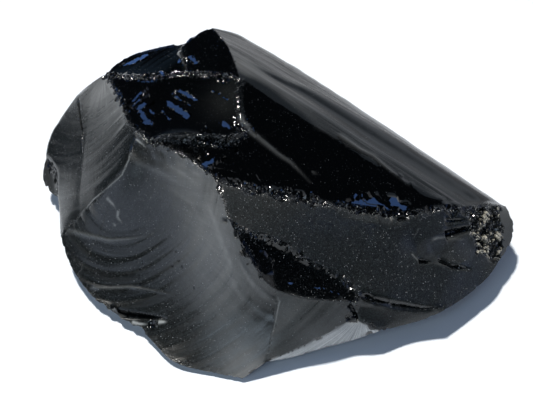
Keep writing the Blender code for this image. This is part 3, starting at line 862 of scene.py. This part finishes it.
REAR_FACING = (-0.071, -0.056, 0.996)
LEFT_FACING = (-0.456, -0.268, 0.848)
RIGHT_FACING = (0.169, -0.389, 0.906)
BACK_FACING = (-0.463, 0.023, 0.886)
DARK_FACING = (0.133, -0.277, 0.951)
FLATTEST = 0.5             # the most that a facet raises or lowers the skin
FACETS = [
    # one end, other end, half its width, the way it faces
    ((-18.9, 28.4, 31.5), (-17.6, 26.0, 31.8), 0.7, REAR_FACING),
    ((-34.3, 18.0, 25.4), (-29.2, 21.4, 27.2), 0.45, LEFT_FACING),
    ((-33.6, 16.4, 25.6), (-28.6, 19.6, 27.1), 0.40, LEFT_FACING),
    ((-32.4, 15.2, 25.9), (-27.6, 16.8, 27.2), 0.65, LEFT_FACING),
    ((-30.0, 14.0, 26.6), (-28.4, 11.0, 27.0), 0.55, LEFT_FACING),
    ((-27.9, 14.2, 27.2), (-27.0, 12.8, 27.5), 0.35, LEFT_FACING),
    ((-28.6, 9.8, 27.2), (-26.9, 8.4, 27.6), 0.60, LEFT_FACING),
    ((-21.1, 18.3, 29.4), (-17.2, 14.7, 29.9), 0.55, REAR_FACING),
    ((-22.0, 16.8, 29.0), (-18.4, 13.2, 29.6), 0.28, REAR_FACING),
    ((-23.7, 15.2, 28.3), (-18.6, 9.8, 29.2), 0.85, REAR_FACING),
    ((-24.7, 12.8, 27.9), (-22.9, 9.6, 28.3), 0.30, REAR_FACING),
    ((-22.9, 17.6, 29.0), (-21.4, 18.6, 29.4), 0.30, REAR_FACING),
    ((-36.8, 36.6, 23.1), (-31.0, 36.4, 25.3), 0.95, BACK_FACING),
    ((-26.0, 26.2, 28.9), (-24.8, 23.4, 29.6), 0.45, BACK_FACING),
    ((-14.6, 1.6, 28.4), (-9.4, -2.2, 28.3), 2.4, DARK_FACING),
    ((12.0, -27.8, 14.0), (17.4, -29.5, 12.3), 1.2, (0.082, -0.446, 0.891)),
    ((-4.2, -24.8, 22.0), (-1.0, -26.2, 18.4), 1.7, (0.38, -0.62, 0.68)),
    ((-12.2, -7.3, 28.1), (-3.5, -8.2, 26.4), 1.0, DARK_FACING),
    ((-14.4, -6.2, 28.6), (-10.9, -3.2, 28.0), 0.85, (-0.094, -0.016, 0.995)),
    ((-13.4, 15.8, 31.6), (-11.8, 14.4, 31.8), 0.30, REAR_FACING),
    ((-11.6, 13.6, 31.8), (-9.8, 12.0, 32.0), 0.25, REAR_FACING),
    ((18.6, -10.4, 21.5), (22.4, -9.8, 20.8), 1.20, RIGHT_FACING),
    ((21.6, -9.0, 21.2), (25.6, -9.2, 20.2), 1.50, RIGHT_FACING),
    ((25.4, -8.3, 20.5), (29.2, -9.3, 19.2), 1.20, RIGHT_FACING),
    ((14.6, -10.6, 22.6), (16.6, -10.9, 22.0), 0.35, RIGHT_FACING),
    ((30.4, -8.4, 19.2), (31.6, -8.6, 18.8), 0.35, RIGHT_FACING),
]
facet = np.zeros(len(places))
for seed, (start, end, half_width, facing) in enumerate(FACETS, 70):
    facing = np.array(facing) / np.linalg.norm(facing)
    far, _ = from_line(places, [start, end])
    coarse, fine = grain(places, 1.1, seed), grain(places, 0.5, seed + 1)
    ragged = half_width * (1 + 0.35 * coarse + 0.25 * fine)
    inside = (far < ragged) & (rim > 0.15)
    if not inside.any():
        continue
    middle = places[inside].mean(axis=0)
    drop = (places[inside] - middle) @ facing / (normals[inside] @ facing)
    lift[inside] = -np.clip(drop, -FLATTEST, FLATTEST)
    facet[inside] = 1


# ---------------------------------------------------------------- the crust
# At the thin tip a rind of pale volcanic stone still clings to the glass. It is crumbled into
# grains a millimetre or two across, with pits of black glass between them.

CRUST_END = 52.2           # beyond this the crust is worn smooth
CRUST_GRAINS = [
    # size of the grains, how far they stand out, how much their kind tells on the colour
    (1.7, 0.8, 0.6), (0.7, 0.35, 1.1),
]
RIND = [
    # middle of a pale patch of the rind, its reach, how pale it is
    ((48.2, -7, 12.4), 3.2, 0.35), ((47, -13.6, 9.4), 2.6, 0.4), ((51, -10.2, 8.6), 2.0, 0.12),
]
pale = np.zeros(len(places))
crusted = on("crust") & (places[:, 0] < CRUST_END + grain(places, 1.5, 63))
for i in np.nonzero(crusted)[0]:
    spot = Vector(places[i])
    pale_grain = 0
    for size, height, tint in CRUST_GRAINS:
        distances, cells = noise.voronoi(spot / size)
        kind = noise.noise(cells[0] * 7.3)
        lift[i] += height * (1.4 * kind - 0.6 * distances[0] + 0.1)
        pale_grain += kind * tint
    rind = sum(
        paleness * math.exp(-((spot - Vector(middle)).length / reach) ** 2)
        for middle, reach, paleness in RIND
    )
    pale[i] = smoothstep(0.50, 0.60, pale_grain + rind)
lift[crusted] *= smoothstep(0.0, 0.9, rim[crusted])

normals = point_normals()
lift[places[:, 2] < 0.05] = 0
places = places + normals * lift[:, None]


# ---------------------------------------------------------------- chips and crushed edges
# Glass is brittle: small flakes are missing all along its edges, each one a shallow cup with
# a sharp rim. Where the stone was struck or knocked the edge is crushed to a row of them.

CHIPS = [
    # middle of the chip, its width, its depth
    ((-31.1, -28.3, 2.4), 1.8, 0.4), ((-25.7, -29.4, 3.4), 2.0, 0.4), ((-28.8, -30.4, 2), 3.4, 0.8),
    ((-21.5, 37, 29.5), 4.0, 0.7), ((-19.8, 27.2, 31.4), 2.6, 0.5), ((-30, 25.6, 27.2), 3.0, 0.6),
    ((-25.5, 23.4, 29.2), 2.4, 0.5), ((-14.5, 20.6, 32.6), 2.6, 0.5), ((-10.5, 18.6, 33.4), 3, 0.5),
    ((-6.6, 3.4, 30.8), 2.2, 0.5), ((-8.2, 4.2, 30.6), 1.6, 0.2), ((-5.6, 5.4, 31.2), 1.5, 0.2),
    ((-7.4, 6.4, 30.9), 1.2, 0.15), ((-40.5, 33, 22.2), 2.6, 0.5), ((-33, 16, 26.2), 2.0, 0.4),
    ((14, -12.4, 22.4), 2.4, 0.3), ((35, -9.6, 18), 2.2, 0.3), ((40, -8.6, 17), 2.6, 0.4),
    ((-20.4, -17.9, 14.3), 0.6, 0.1), ((-20.1, -19.7, 12.9), 0.6, 0.1),
    ((-21.2, -20.2, 11.7), 0.6, 0.1), ((-19, -21, 12.5), 0.6, 0.1), ((-28.8, -18.6, 8.8), 0.7, 0.1),
    ((-28.7, -21.1, 7.2), 0.6, 0.1), ((-16.7, -25.1, 10.3), 0.6, 0.1),
    ((-28.1, -17.4, 10.1), 0.6, 0.1),
]
rng = np.random.default_rng(19)
outward = point_normals()
chips = [chip + (None,) for chip in CHIPS]
for name, line in ridge_numbers.items():
    broken = CRUSHED.get(name, BARELY_CRUSHED)
    if name in SOFT_RIDGES or broken == 0 or name.startswith("rest_"):
        continue
    route = ridge_points(name)
    span = np.linalg.norm(np.diff(places[line], axis=0), axis=1).sum()
    for _ in range(int(span * (0.2 + 1.6 * broken))):
        spot = route[rng.integers(len(route))]
        width = (0.5 + 2.6 * rng.random() ** 3) * (0.55 + 0.6 * broken)
        middle = places[spot] + rng.normal(0, 0.3 * broken, 3)
        depth = width * rng.uniform(0.04, 0.12)
        chips.append((middle, width, depth, outward[spot] + rng.normal(0, 0.25, 3)))

fresh_and_groove_shade = facet.copy()
tree = search_tree(places)
for middle, width, depth, facing in chips:
    closest, at, _ = tree.find(middle)
    facing = outward[at] if facing is None else facing
    facing = facing / np.linalg.norm(facing)
    radius = (width**2 / 4 + depth**2) / (2 * depth)
    ball = np.array(closest) + facing * (radius - depth)
    inside = np.array([hit[1] for hit in tree.find_range(ball, radius + 0.3)], int)
    if len(inside) == 0:
        continue
    out = places[inside] - ball
    far = np.linalg.norm(out, axis=1)
    beside = np.linalg.norm(places[inside] - np.array(closest), axis=1)
    cut = (far < radius) & (out @ facing < 0) & (beside < 0.62 * width) & (facet[inside] == 0)
    inside, out, far = inside[cut], out[cut], far[cut]
    places[inside] = ball + out * (radius / far)[:, None]
    fresh_and_groove_shade[inside] = np.maximum(fresh_and_groove_shade[inside], smoothstep(0, 0.05, radius - far))
places[:, 2] = np.maximum(places[:, 2], 0)


# ---------------------------------------------------------------- the glass
# Black glass with three finishes: mirror bright where it broke last, etched grey and dusty where
# it broke long ago, and crumbled to a pale crust at the thin tip. Part of its grey is painted
# light: sheen on the upper bulb and along the large scar's crest, the bright backdrop and floor
# mirrored by the rounded edge and the strip, and shade in the deep grooves.

FINISH = {
    # scar: how matte, how cloudy and how dusty it is, each from 0 to 1; the cloudy grey is in
    # places painted light
    "bulb": (0.38, 0.01, 0.60), "shell_scar": (0.48, 0.01, 0.65), "lobe": (0.9, 0.12, 0.30),
    # The strip's cloudiness of 1.5 is mostly painted light: it stands in for the bright floor that
    # the strip mirrors and catches.
    "strip": (0.9, 1.5, 0.05), "toe": (0.8, 0.0, 0.30), "pocket": (0.0, 0.0, 0.50),
    "shelf": (0.62, 0.01, 1.0), "fold": (0.7, 0.05, 0.6), "notch": (0.3, 0.10, 0.1),
    "crust": (0.2, 0.0, 0.1), "inner_face": (0.0, 0.0, 0.10), "lip": (0.6, 0.02, 0.2),
    "fan_scar": (0.0, 0.0, 0.08), "rear_chip_left": (0.0, 0.0, 0.08),
    "rear_chip_right": (0.0, 0.0, 0.1), "mirror_face": (0.0, 0.0, 0.12),
    "roll_front": (0.30, 0.02, 0.1), "roll_top": (0.40, 0.05, 0.1),
    "roll_back": (0.50, 0.10, 0.1), "back_left": (0.85, 0.12, 0.4), "back_corner": (0.05, 0.0, 0.1),
    "back_foot": (0.75, 0.10, 0.3), "back_middle": (0.05, 0.0, 0.2), "back_right": (0.8, 0.10, 0.4),
    "under_right": (0.8, 0.08, 0.3), "under_strip": (0.8, 0.2, 0.1), "under_front": (0.8, 0.2, 0.1),
    "under_left_front": (0.8, 0.2, 0.1), "under_left": (0.7, 0.1, 0.2), "rest": (0.9, 0.15, 0.3),
}
# Patches of cloudier glass, partly real etching and dust. On the upper bulb, along the large scar's
# crest and at its thin front point they are also painted sheen, and on the rounded edge a painted
# reflection of the bright backdrop.
CLOUDS_AND_SHEEN = [
    # scar, middle of the patch, its radius, how much cloudier and brighter it is, and how much more
    # matte it is
    ("bulb", (-40, 29, 22), 7, 0.55, 0.4), ("bulb", (-36, 18, 24.5), 7, 0.22, 0.3),
    ("bulb", (-51, 3, 6), 7, 0.10, 0.2),
    ("shell_scar", (-17, -5, 28), 8, 0.22, 0.3), ("shell_scar", (-13, -13, 25), 8, 0.20, 0.3),
    ("shell_scar", (-11, -21, 19), 9, 0.28, 0.3), ("shell_scar", (-9, -28, 11), 8, 0.20, 0.3),
    ("shell_scar", (-6, -41, 2), 6, 0.40, 0.3), ("lobe", (12, -34, 8), 8, 0.05, 0.0),
    ("fan_scar", (-9, 12.5, 32), 5.5, 0.03, 0.10),
    ("roll_front", (-8, 24, 33), 18, 0.30, 0.1), ("roll_top", (0, 26, 32), 22, 0.24, 0.1),
]


def over_points(of_scar):
    """A scar's number on all its points; points on a ridge get the mean of both sides."""
    total = np.zeros(len(places))
    count = np.zeros(len(places))
    for corner in triangles.T:
        np.add.at(total, corner, of_scar[scar])
        np.add.at(count, corner, 1)
    return total / count


matte, cloudy, dusty = (
    over_points(np.array([FINISH[name][k] for name in scar_names])) for k in range(3)
)
MATTEST = 0.9
for name, middle, radius, cloud_and_sheen_added, rougher in CLOUDS_AND_SHEEN:
    far = np.linalg.norm(places - np.array(middle), axis=1)
    patch = np.exp(-(far / radius) ** 2) * on(name)
    cloudy += cloud_and_sheen_added * patch
    matte = np.minimum(matte + rougher * patch, MATTEST)

# The rounded edge is polished black beside the mirror face and along its one flat flute.
wobble = 0.5 * grain(places, 5, 64)
polished_to = 2.0 - 2.2 * smoothstep(8, 25, along)
in_lane = smoothstep(1.25, 0.5, np.abs(from_lane + 0.4 * wobble) / lane_half)
in_lane *= smoothstep(-4, 6, along)
etched = smoothstep(-0.9, 1.3, across - polished_to + wobble) * (1 - 0.95 * in_lane)
etched = np.where(fluted, etched, 1)

# Fresh chips are black, and so are the walls of deep grooves, fresh glass that also paints shade
# into them; the pocket is matte under its brow, and the large scar has greyer streaks painted on
# the folds beside its crest, a painted sheen on the folds.
fresh_and_groove_shade = np.maximum(fresh_and_groove_shade, np.clip(1.3 * groove_gloss_and_shade, 0, 1))
matte += 0.35 * on("pocket") * np.exp(-(from_ridges("pocket_brow") / 1.6) ** 2)
cloudy = np.clip(cloudy, 0, 2) * (1 - 0.85 * fresh_and_groove_shade) * etched
matte = matte * (1 - 0.9 * fresh_and_groove_shade) * (0.15 + 0.85 * etched)
# Painted sheen: lighter streaks along the folds stand in for the light the folds catch.
folds = smoothstep(-0.1, 0.9, grain(feather[by_crest], 1.3, 66))
cloudy[by_crest] += 0.22 * (folds * smoothstep(FOLD_REACH, 2, from_crest[by_crest]))
worn_end = on("crust") & ~crusted
cloudy[worn_end], matte[worn_end] = 0.14, 0.8


def add_layer(name, values):
    """Keeps a number for each point of the skin, for its material to read."""
    layer = mesh.attributes.new(name, "FLOAT", "POINT")
    layer.data.foreach_set("value", values.astype(np.float32))


open_scars = np.where(on("shelf", "toe", "fold", "strip"), 0.12, 1.0)
mesh = bpy.data.meshes.new("chunk")
mesh.from_pydata([tuple(p) for p in places * MM], [], [tuple(int(i) for i in t) for t in triangles])
for name, values in {
    "matte": matte,
    "cloudy": cloudy,
    "dusty": dusty,
    "pale": pale,
    "powder": crush * smoothstep(1.6, 0.1, rim),
    "line": pale_lines_and_glints,
    "across": across,
    "along": along,
    "ringed": open_scars * smoothstep(3, 16, along) * ~fluted,
    "fluted": (0.35 * on("roll_front") + 0.8 * on("roll_top") + on("roll_back")) * etched,
}.items():
    add_layer(name, values)

# Crumbled glass shows its flat facets. Everywhere else the skin is smooth up to the sharp ridges
# and the sharp folds.
SHARP_FOLD = math.radians(24)
crumbled = (crumble > 0.3) | (fresh_and_groove_shade * crush * (rim < 1.2) > 0.35) | (crusted & (pale < 0.5))
flat = crumbled[triangles].sum(axis=1) == 3
mesh.polygons.foreach_set("use_smooth", ~flat)
facings = unit(triangle_normals())
edges, back = all_edges(triangles)
pairs = (np.argsort(back.ravel(), kind="stable") % len(triangles)).reshape(-1, 2)
bend = (facings[pairs[:, 0]] * facings[pairs[:, 1]]).sum(axis=1)
folded = edges[bend < math.cos(SHARP_FOLD)]
ends = np.empty(len(mesh.edges) * 2, int)
mesh.edges.foreach_get("vertices", ends)
ends = np.sort(ends.reshape(-1, 2), axis=1)
layer = mesh.attributes.new("sharp_edge", "BOOLEAN", "EDGE")
layer.data.foreach_set("value", np.isin(edge_keys(ends), edge_keys(np.vstack([hard, folded]))))
chunk = add_object("chunk", mesh)


def add_node(tree, kind, settings=None, **inputs):
    """Adds a node; inputs are named, or numbered as in_0, and may be sockets."""
    made = tree.nodes.new(kind)
    for key, value in (settings or {}).items():
        setattr(made, key, value)
    for key, value in inputs.items():
        numbered = key.startswith("in_")
        at = made.inputs[int(key[3:]) if numbered else key.replace("_", " ")]
        if isinstance(value, bpy.types.NodeSocket):
            tree.links.new(value, at)
        else:
            at.default_value = value
    return made.outputs


class Socket:
    """A shader value that can be reckoned with: a + b, a * 2, 1 - a."""

    def __init__(self, tree, output):
        self.tree = tree
        self.output = output

    def node(self, kind, output=0, settings=None, **inputs):
        """Adds a node to the same tree and takes one of its outputs; inputs may be Sockets."""
        inputs = {key: getattr(value, "output", value) for key, value in inputs.items()}
        return Socket(self.tree, add_node(self.tree, kind, settings, **inputs)[output])

    def into(self, shader, name):
        """Feeds this value to an input of a shader."""
        self.tree.links.new(self.output, shader.inputs[name])

    def maths(self, operation, *others):
        """Adds a Math node for this value and the others."""
        inputs = {"in_" + str(i): other for i, other in enumerate((self,) + others)}
        return self.node("ShaderNodeMath", 0, {"operation": operation}, **inputs)

    def __add__(self, other):
        return self.maths("ADD", other)

    __radd__ = __add__

    def __mul__(self, other):
        return self.maths("MULTIPLY", other)

    __rmul__ = __mul__

    def __sub__(self, other):
        return self.maths("SUBTRACT", other)

    def __rsub__(self, other):
        return (self * -1.0) + other

    def ramp(self, low, high, to_low=0.0, to_high=1.0):
        """Smooth step from to_low at low to to_high at high."""
        return self.node(
            "ShaderNodeMapRange", 0, {"interpolation_type": "SMOOTHSTEP"},
            Value=self, From_Min=low, From_Max=high, To_Min=to_low, To_Max=to_high,
        )

    def mix(self, a, b):
        """Colour a where this is 0 and colour b where it is 1."""
        settings = {"data_type": "RGBA", "clamp_factor": True}
        return self.node("ShaderNodeMix", 2, settings, in_0=self, in_6=a, in_7=b)

    def noise(self, scale, detail=3.0):
        """Noise about 0.5 at this place, its lumps 1 / scale millimetres across."""
        return self.node("ShaderNodeTexNoise", Vector=self, Scale=scale, Detail=detail)

    def specks(self, scale, size, share):
        """Round specks of dust here: scale cells per millimetre, a share of them filled."""
        far = self.node("ShaderNodeTexVoronoi", Vector=self, Scale=scale)
        cell = self.node("ShaderNodeTexVoronoi", 1, Vector=self, Scale=scale)
        pick = cell.node("ShaderNodeSeparateColor", Color=cell)
        return far.ramp(0.5 * size, size, 1.0, 0.0) * pick.ramp(1 - share, 1 - 0.4 * share)


def start_material(name):
    """A new material: its shader, the place in millimetres, and a reader of mesh attributes."""
    material = bpy.data.materials.new(name)
    material.use_nodes = True
    tree = material.node_tree
    shader = tree.nodes["Principled BSDF"]
    place = Socket(tree, tree.nodes.new("ShaderNodeTexCoord").outputs["Object"])
    place = place.node("ShaderNodeVectorMath", 0, {"operation": "SCALE"}, in_0=place, Scale=1000.0)

    def attribute(which):
        return place.node("ShaderNodeAttribute", 2, {"attribute_name": which})

    return material, shader, place, attribute


GLASSY = 0.04              # roughness of the mirror-bright glass
glass, shader, place, attribute = start_material("obsidian_glass")
matte_at, cloudy_and_sheen_at, dusty_at = attribute("matte"), attribute("cloudy"), attribute("dusty")
pale_at, powder_at, pale_lines_and_glints_at = attribute("pale"), attribute("powder"), attribute("line")
fluted_at, ringed_at = attribute("fluted"), attribute("ringed")
along_at, across_at = attribute("along"), attribute("across")

# Noise drawn out along the streaks of the glass, and noise drawn out round the rings of a scar.
flow = place.node("ShaderNodeCombineXYZ", X=across_at, Y=along_at * 0.04, Z=0.0)
streak = flow.noise(0.9, 4.0)
hair = flow.noise(3.2)
lane = flow.noise(1.3)
broad_lane = flow.noise(0.33, 2.0).ramp(0.40, 0.58, 0.55, 1.25)
rings = place.node("ShaderNodeCombineXYZ", X=across_at * 0.14, Y=along_at, Z=3.0)
arc = rings.noise(0.8, 4.0)
broad = place.noise(0.10, 4.0)
middling = place.noise(0.7, 4.0)
fine = place.noise(2.6)
mottle = place.noise(3.6)

big_dust = place.specks(1.1, 0.13, 0.28)
small_dust = place.specks(3.1, 0.30, 0.22)
tiny_dust = place.noise(7.0, 2.0).ramp(0.60, 0.72)
drift = place.noise(0.16).ramp(0.38, 0.66)
dust = big_dust * dusty_at.ramp(0.0, 0.4) + small_dust * (dusty_at * (0.25 + 0.75 * drift))
haze = tiny_dust * dusty_at.ramp(0.2, 1.0)
powder = fine.ramp(0.50, 0.66) * middling.ramp(0.45, 0.6) * powder_at

# Each layer of colour: where it lies, from 0 to 1, and its colour.
streaky = 2.0 - 1.3 * ringed_at
cloud_and_sheen = 0.65 + 0.5 * broad + streaky * (0.6 * (hair - 0.5) + 0.9 * (streak - 0.5))
cloud_and_sheen = cloudy_and_sheen_at * (cloud_and_sheen + 0.8 * (arc - 0.5) * ringed_at) * (1 + fluted_at * (broad_lane - 1))
cloud_and_sheen = (0.55 * cloud_and_sheen).maths("MINIMUM", 1.0)
rind = place.noise(5.0).ramp(0.42, 0.60).mix((0.05, 0.045, 0.035, 1), (0.62, 0.58, 0.48, 1))
colour = (0.0008, 0.0010, 0.0012, 1)
# The first layer, the grey of cloudy glass, also carries the painted sheen and reflections; the
# line layer also carries the painted glints.
for where, tint in (
    (cloud_and_sheen, (0.56, 0.57, 0.57, 1)),
    (matte_at * mottle.ramp(0.40, 0.64) * 0.20, (0.09, 0.12, 0.12, 1)),
    (fluted_at * lane.ramp(0.42, 0.66) * broad_lane * 0.62, (0.13, 0.13, 0.14, 1)),
    (pale_at, rind),
    (0.55 * powder, (0.30, 0.32, 0.34, 1)),
    (pale_lines_and_glints_at, (0.36, 0.38, 0.38, 1)),
    (haze * 0.40, (0.20, 0.23, 0.25, 1)),
    (dust * (0.40 + 0.7 * fine), (0.40, 0.43, 0.46, 1)),
):
    colour = where.mix(colour, tint)

uneven = 0.3 * (middling - 0.5) + 1.0 * (arc - 0.5) * ringed_at
roughness = GLASSY + 0.48 * matte_at + uneven * matte_at
roughness = roughness + 0.5 * fluted_at * (lane - 0.5)
roughness = roughness + 0.5 * powder + 0.4 * dust + 0.3 * pale_at
roughness = roughness.maths("MINIMUM", MATTEST).maths("MAXIMUM", GLASSY)
height = (
    0.05 * streak * fluted_at
    + (0.03 * hair + 0.12 * arc) * matte_at * ringed_at
    + 0.02 * hair * fluted_at
    + 0.25 * fine * powder_at
    + 0.25 * fine * pale_at
    + 0.025 * middling * matte_at
    + 0.010 * fine * matte_at
    + 0.06 * dust
)
colour.into(shader, "Base Color")
roughness.into(shader, "Roughness")
place.node("ShaderNodeBump", Height=height, Strength=1.0, Distance=MM).into(shader, "Normal")
shader.inputs["IOR"].default_value = 1.5
mesh.materials.append(glass)
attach(chunk, "root")
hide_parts("obsidian_chunk")


# ---------------------------------------------------------------- crumbs on the broken edges
# Splinters of the glass, a few tenths of a millimetre long, still sit in the crushed edges and
# in the crust of the tip, and glitter because each one has its own flat faces.

crumb_tree = bpy.data.node_groups.new("crumbs", "GeometryNodeTree")
for socket_name, kind in (
    ("Skin", "NodeSocketGeometry"), ("Density", "NodeSocketFloat"), ("Smallest", "NodeSocketFloat"),
    ("Largest", "NodeSocketFloat"), ("Stuff", "NodeSocketMaterial"),
):
    crumb_tree.interface.new_socket(socket_name, in_out="INPUT", socket_type=kind)
crumb_tree.interface.new_socket("Crumbs", in_out="OUTPUT", socket_type="NodeSocketGeometry")


def geo(kind, settings=None, **inputs):
    """Adds a node to the crumb tree."""
    return add_node(crumb_tree, kind, settings, **inputs)


FULL_TURN = 6.28           # radians
entry = geo("NodeGroupInput")
weight = geo("GeometryNodeInputNamedAttribute", {"data_type": "FLOAT"}, Name="crumbly")
density = geo(
    "ShaderNodeMath", {"operation": "MULTIPLY"}, in_0=entry["Density"], in_1=weight["Attribute"],
)
scatter = geo(
    "GeometryNodeDistributePointsOnFaces", {"distribute_method": "RANDOM"},
    Mesh=entry["Skin"], Density=density[0], Seed=4,
)
shard = geo("GeometryNodeMeshIcoSphere", Radius=1.0, Subdivisions=1)
turn = geo(
    "FunctionNodeRandomValue", {"data_type": "FLOAT_VECTOR"}, in_1=(FULL_TURN,) * 3, Seed=5,
)
size = geo(
    "FunctionNodeRandomValue", {"data_type": "FLOAT"},
    in_2=entry["Smallest"], in_3=entry["Largest"], Seed=6,
)
stretch = geo(
    "FunctionNodeRandomValue", {"data_type": "FLOAT_VECTOR"},
    in_0=(0.5, 0.4, 0.25), in_1=(1.3, 1.0, 0.6), Seed=7,
)
scale = geo("ShaderNodeVectorMath", {"operation": "SCALE"}, in_0=stretch[0], Scale=size[1])
shards = geo(
    "GeometryNodeInstanceOnPoints", Points=scatter["Points"], Instance=shard["Mesh"],
    Rotation=turn[0], Scale=scale[0],
)
real = geo("GeometryNodeRealizeInstances", Geometry=shards["Instances"])
stuff = geo("GeometryNodeSetMaterial", Geometry=real["Geometry"], Material=entry["Stuff"])
geo("NodeGroupOutput", Crumbs=stuff["Geometry"])

crumb_glass, shader, place, attribute = start_material("crumb_glass")
shade = place.noise(1.7, 1.0)
black_or_grey = shade.ramp(0.48, 0.62).mix((0.004, 0.005, 0.006, 1), (0.38, 0.39, 0.38, 1))
black_or_grey.into(shader, "Base Color")
shade.ramp(0.3, 0.6, 0.10, 0.40).into(shader, "Roughness")

# They lie thickest along the worst crushed edges, in the crust and on the crumbled lips.
crumbly = 1.3 * np.clip(crush - 0.2, 0, 1) * smoothstep(1.4, 0.1, rim)
crumbly *= smoothstep(-0.2, 0.7, grain(places, 4.0, 31))
crumbly = np.maximum(crumbly, np.maximum(0.5 * crusted, 0.35 * crumble))
clear_of_floor = places[:, 2] > 1.0
add_layer("crumbly", crumbly * clear_of_floor)
crumb_bed = add_object("crumb_bed", mesh)
grow = crumb_bed.modifiers.new("crumbs", "NODES")
grow.node_group = crumb_tree
CRUMBS_PER_SQUARE_METRE = 2.0e6        # where the skin is crumbly through and through
crumb_sizes = {
    "Density": CRUMBS_PER_SQUARE_METRE, "Smallest": 0.08 * MM, "Largest": 0.26 * MM,
    "Stuff": crumb_glass,
}
for item in crumb_tree.interface.items_tree:
    if item.name in crumb_sizes:
        grow[item.identifier] = crumb_sizes[item.name]
evaluated = crumb_bed.evaluated_get(bpy.context.evaluated_depsgraph_get())
crumb_mesh = bpy.data.meshes.new_from_object(evaluated)
bpy.data.objects.remove(crumb_bed, do_unlink=True)
crumbs = add_object("crumbs", crumb_mesh)
crumb_mesh.shade_flat()
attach(crumbs, "root")


# ---------------------------------------------------------------- floor and light
# A plain pale floor, one soft sun from the upper left, a bright low backdrop that the rounded
# edge mirrors, and soft blue lights that show in the small facets.

FLOOR = 3                  # metres from the middle of the floor to its edges
floor_mesh = bpy.data.meshes.new("floor")
floor_corners = [(-FLOOR, -FLOOR, 0), (FLOOR, -FLOOR, 0), (FLOOR, FLOOR, 0), (-FLOOR, FLOOR, 0)]
floor_mesh.from_pydata(floor_corners, [], [(0, 1, 2, 3)])
floor = add_object("floor", floor_mesh)
pale_floor = bpy.data.materials.new("pale_floor")
pale_floor.use_nodes = True
shader = pale_floor.node_tree.nodes["Principled BSDF"]
shader.inputs["Base Color"].default_value = (0.86, 0.91, 0.97, 1)
shader.inputs["Roughness"].default_value = 0.8
floor_mesh.materials.append(pale_floor)

# The backdrop is bright low down behind the chunk, and a little higher on its right.
world = bpy.data.worlds.new("studio")
bpy.context.scene.world = world
world.use_nodes = True
sky = world.node_tree
direction = Socket(sky, sky.nodes.new("ShaderNodeTexCoord").outputs["Generated"])
rightward, backward, upward = (
    direction.node("ShaderNodeSeparateXYZ", axis, Vector=direction) for axis in range(3)
)
band = (upward - 0.42 * rightward.ramp(-0.05, 0.30)).ramp(0.06, 0.24, 1.0, 0.0)
band = band * backward.ramp(-0.45, -0.1)
band_colour = rightward.ramp(-0.3, 0.2).mix((0.03, 0.05, 0.08, 1), (0.42, 0.44, 0.48, 1))
band.mix((0.005, 0.008, 0.014, 1), band_colour).into(sky.nodes["Background"], "Color")
sky.nodes["Background"].inputs["Strength"].default_value = 1.0

LIGHT_DISTANCE = 0.6       # metres from the chunk to its soft lights
CHUNK_MIDDLE = Vector((0, 0, 0.015))
SKY_BLUE = (0.19, 0.40, 1.0)
SOFT_LIGHTS = {
    # light: the direction it stands in, its diameter, its radiance, its colour
    "rear_blue": ((-0.20, 0.70, 0.69), 0.10, 2.0, SKY_BLUE),
    "low_blue": ((-0.75, 0.40, 0.52), 0.10, 2.0, SKY_BLUE),
    "back_blue": ((-0.55, 0.80, 0.20), 0.07, 2.0, SKY_BLUE),
    "right_blue": ((0.44, 0.0, 0.90), 0.08, 2.6, SKY_BLUE),
    "rear_softbox": ((0.46, 0.68, 0.57), 0.34, 0.3, (0.7, 0.84, 1.0)),
    "left_softbox": ((-0.90, -0.40, 0.25), 0.40, 1.2, (0.7, 0.8, 1.0)),
    "front_softbox": ((-0.35, -0.70, 0.62), 0.30, 2.8, (0.64, 0.80, 0.96)),
    "right_sky": ((0.92, -0.25, 0.30), 0.40, 0.4, (0.15, 0.35, 1.0)),
}


def stand_light(light_data, towards, away, colour):
    """Stands a light this many metres from the chunk's middle, facing it."""
    light_data.color = colour
    light = add_object(light_data.name, light_data)
    towards = Vector(towards).normalized()
    light.location = towards * away + CHUNK_MIDDLE
    light.rotation_mode = "QUATERNION"
    light.rotation_quaternion = towards.to_track_quat("Z", "Y")


sun = bpy.data.lights.new("sun", "SUN")
sun.energy = 3.7
sun.angle = math.radians(5)
stand_light(sun, (-0.23, 0.31, 0.92), 1.0, (1.0, 0.97, 0.92))
for name, (towards, diameter, radiance, colour) in SOFT_LIGHTS.items():
    softbox = bpy.data.lights.new(name, "AREA")
    softbox.shape = "DISK"
    softbox.size = diameter
    # Its power is its radiance times pi times its area.
    softbox.energy = radiance * math.pi * math.pi * diameter**2 / 4
    stand_light(softbox, towards, LIGHT_DISTANCE, colour)
bpy.context.scene.view_settings.view_transform = "Standard"
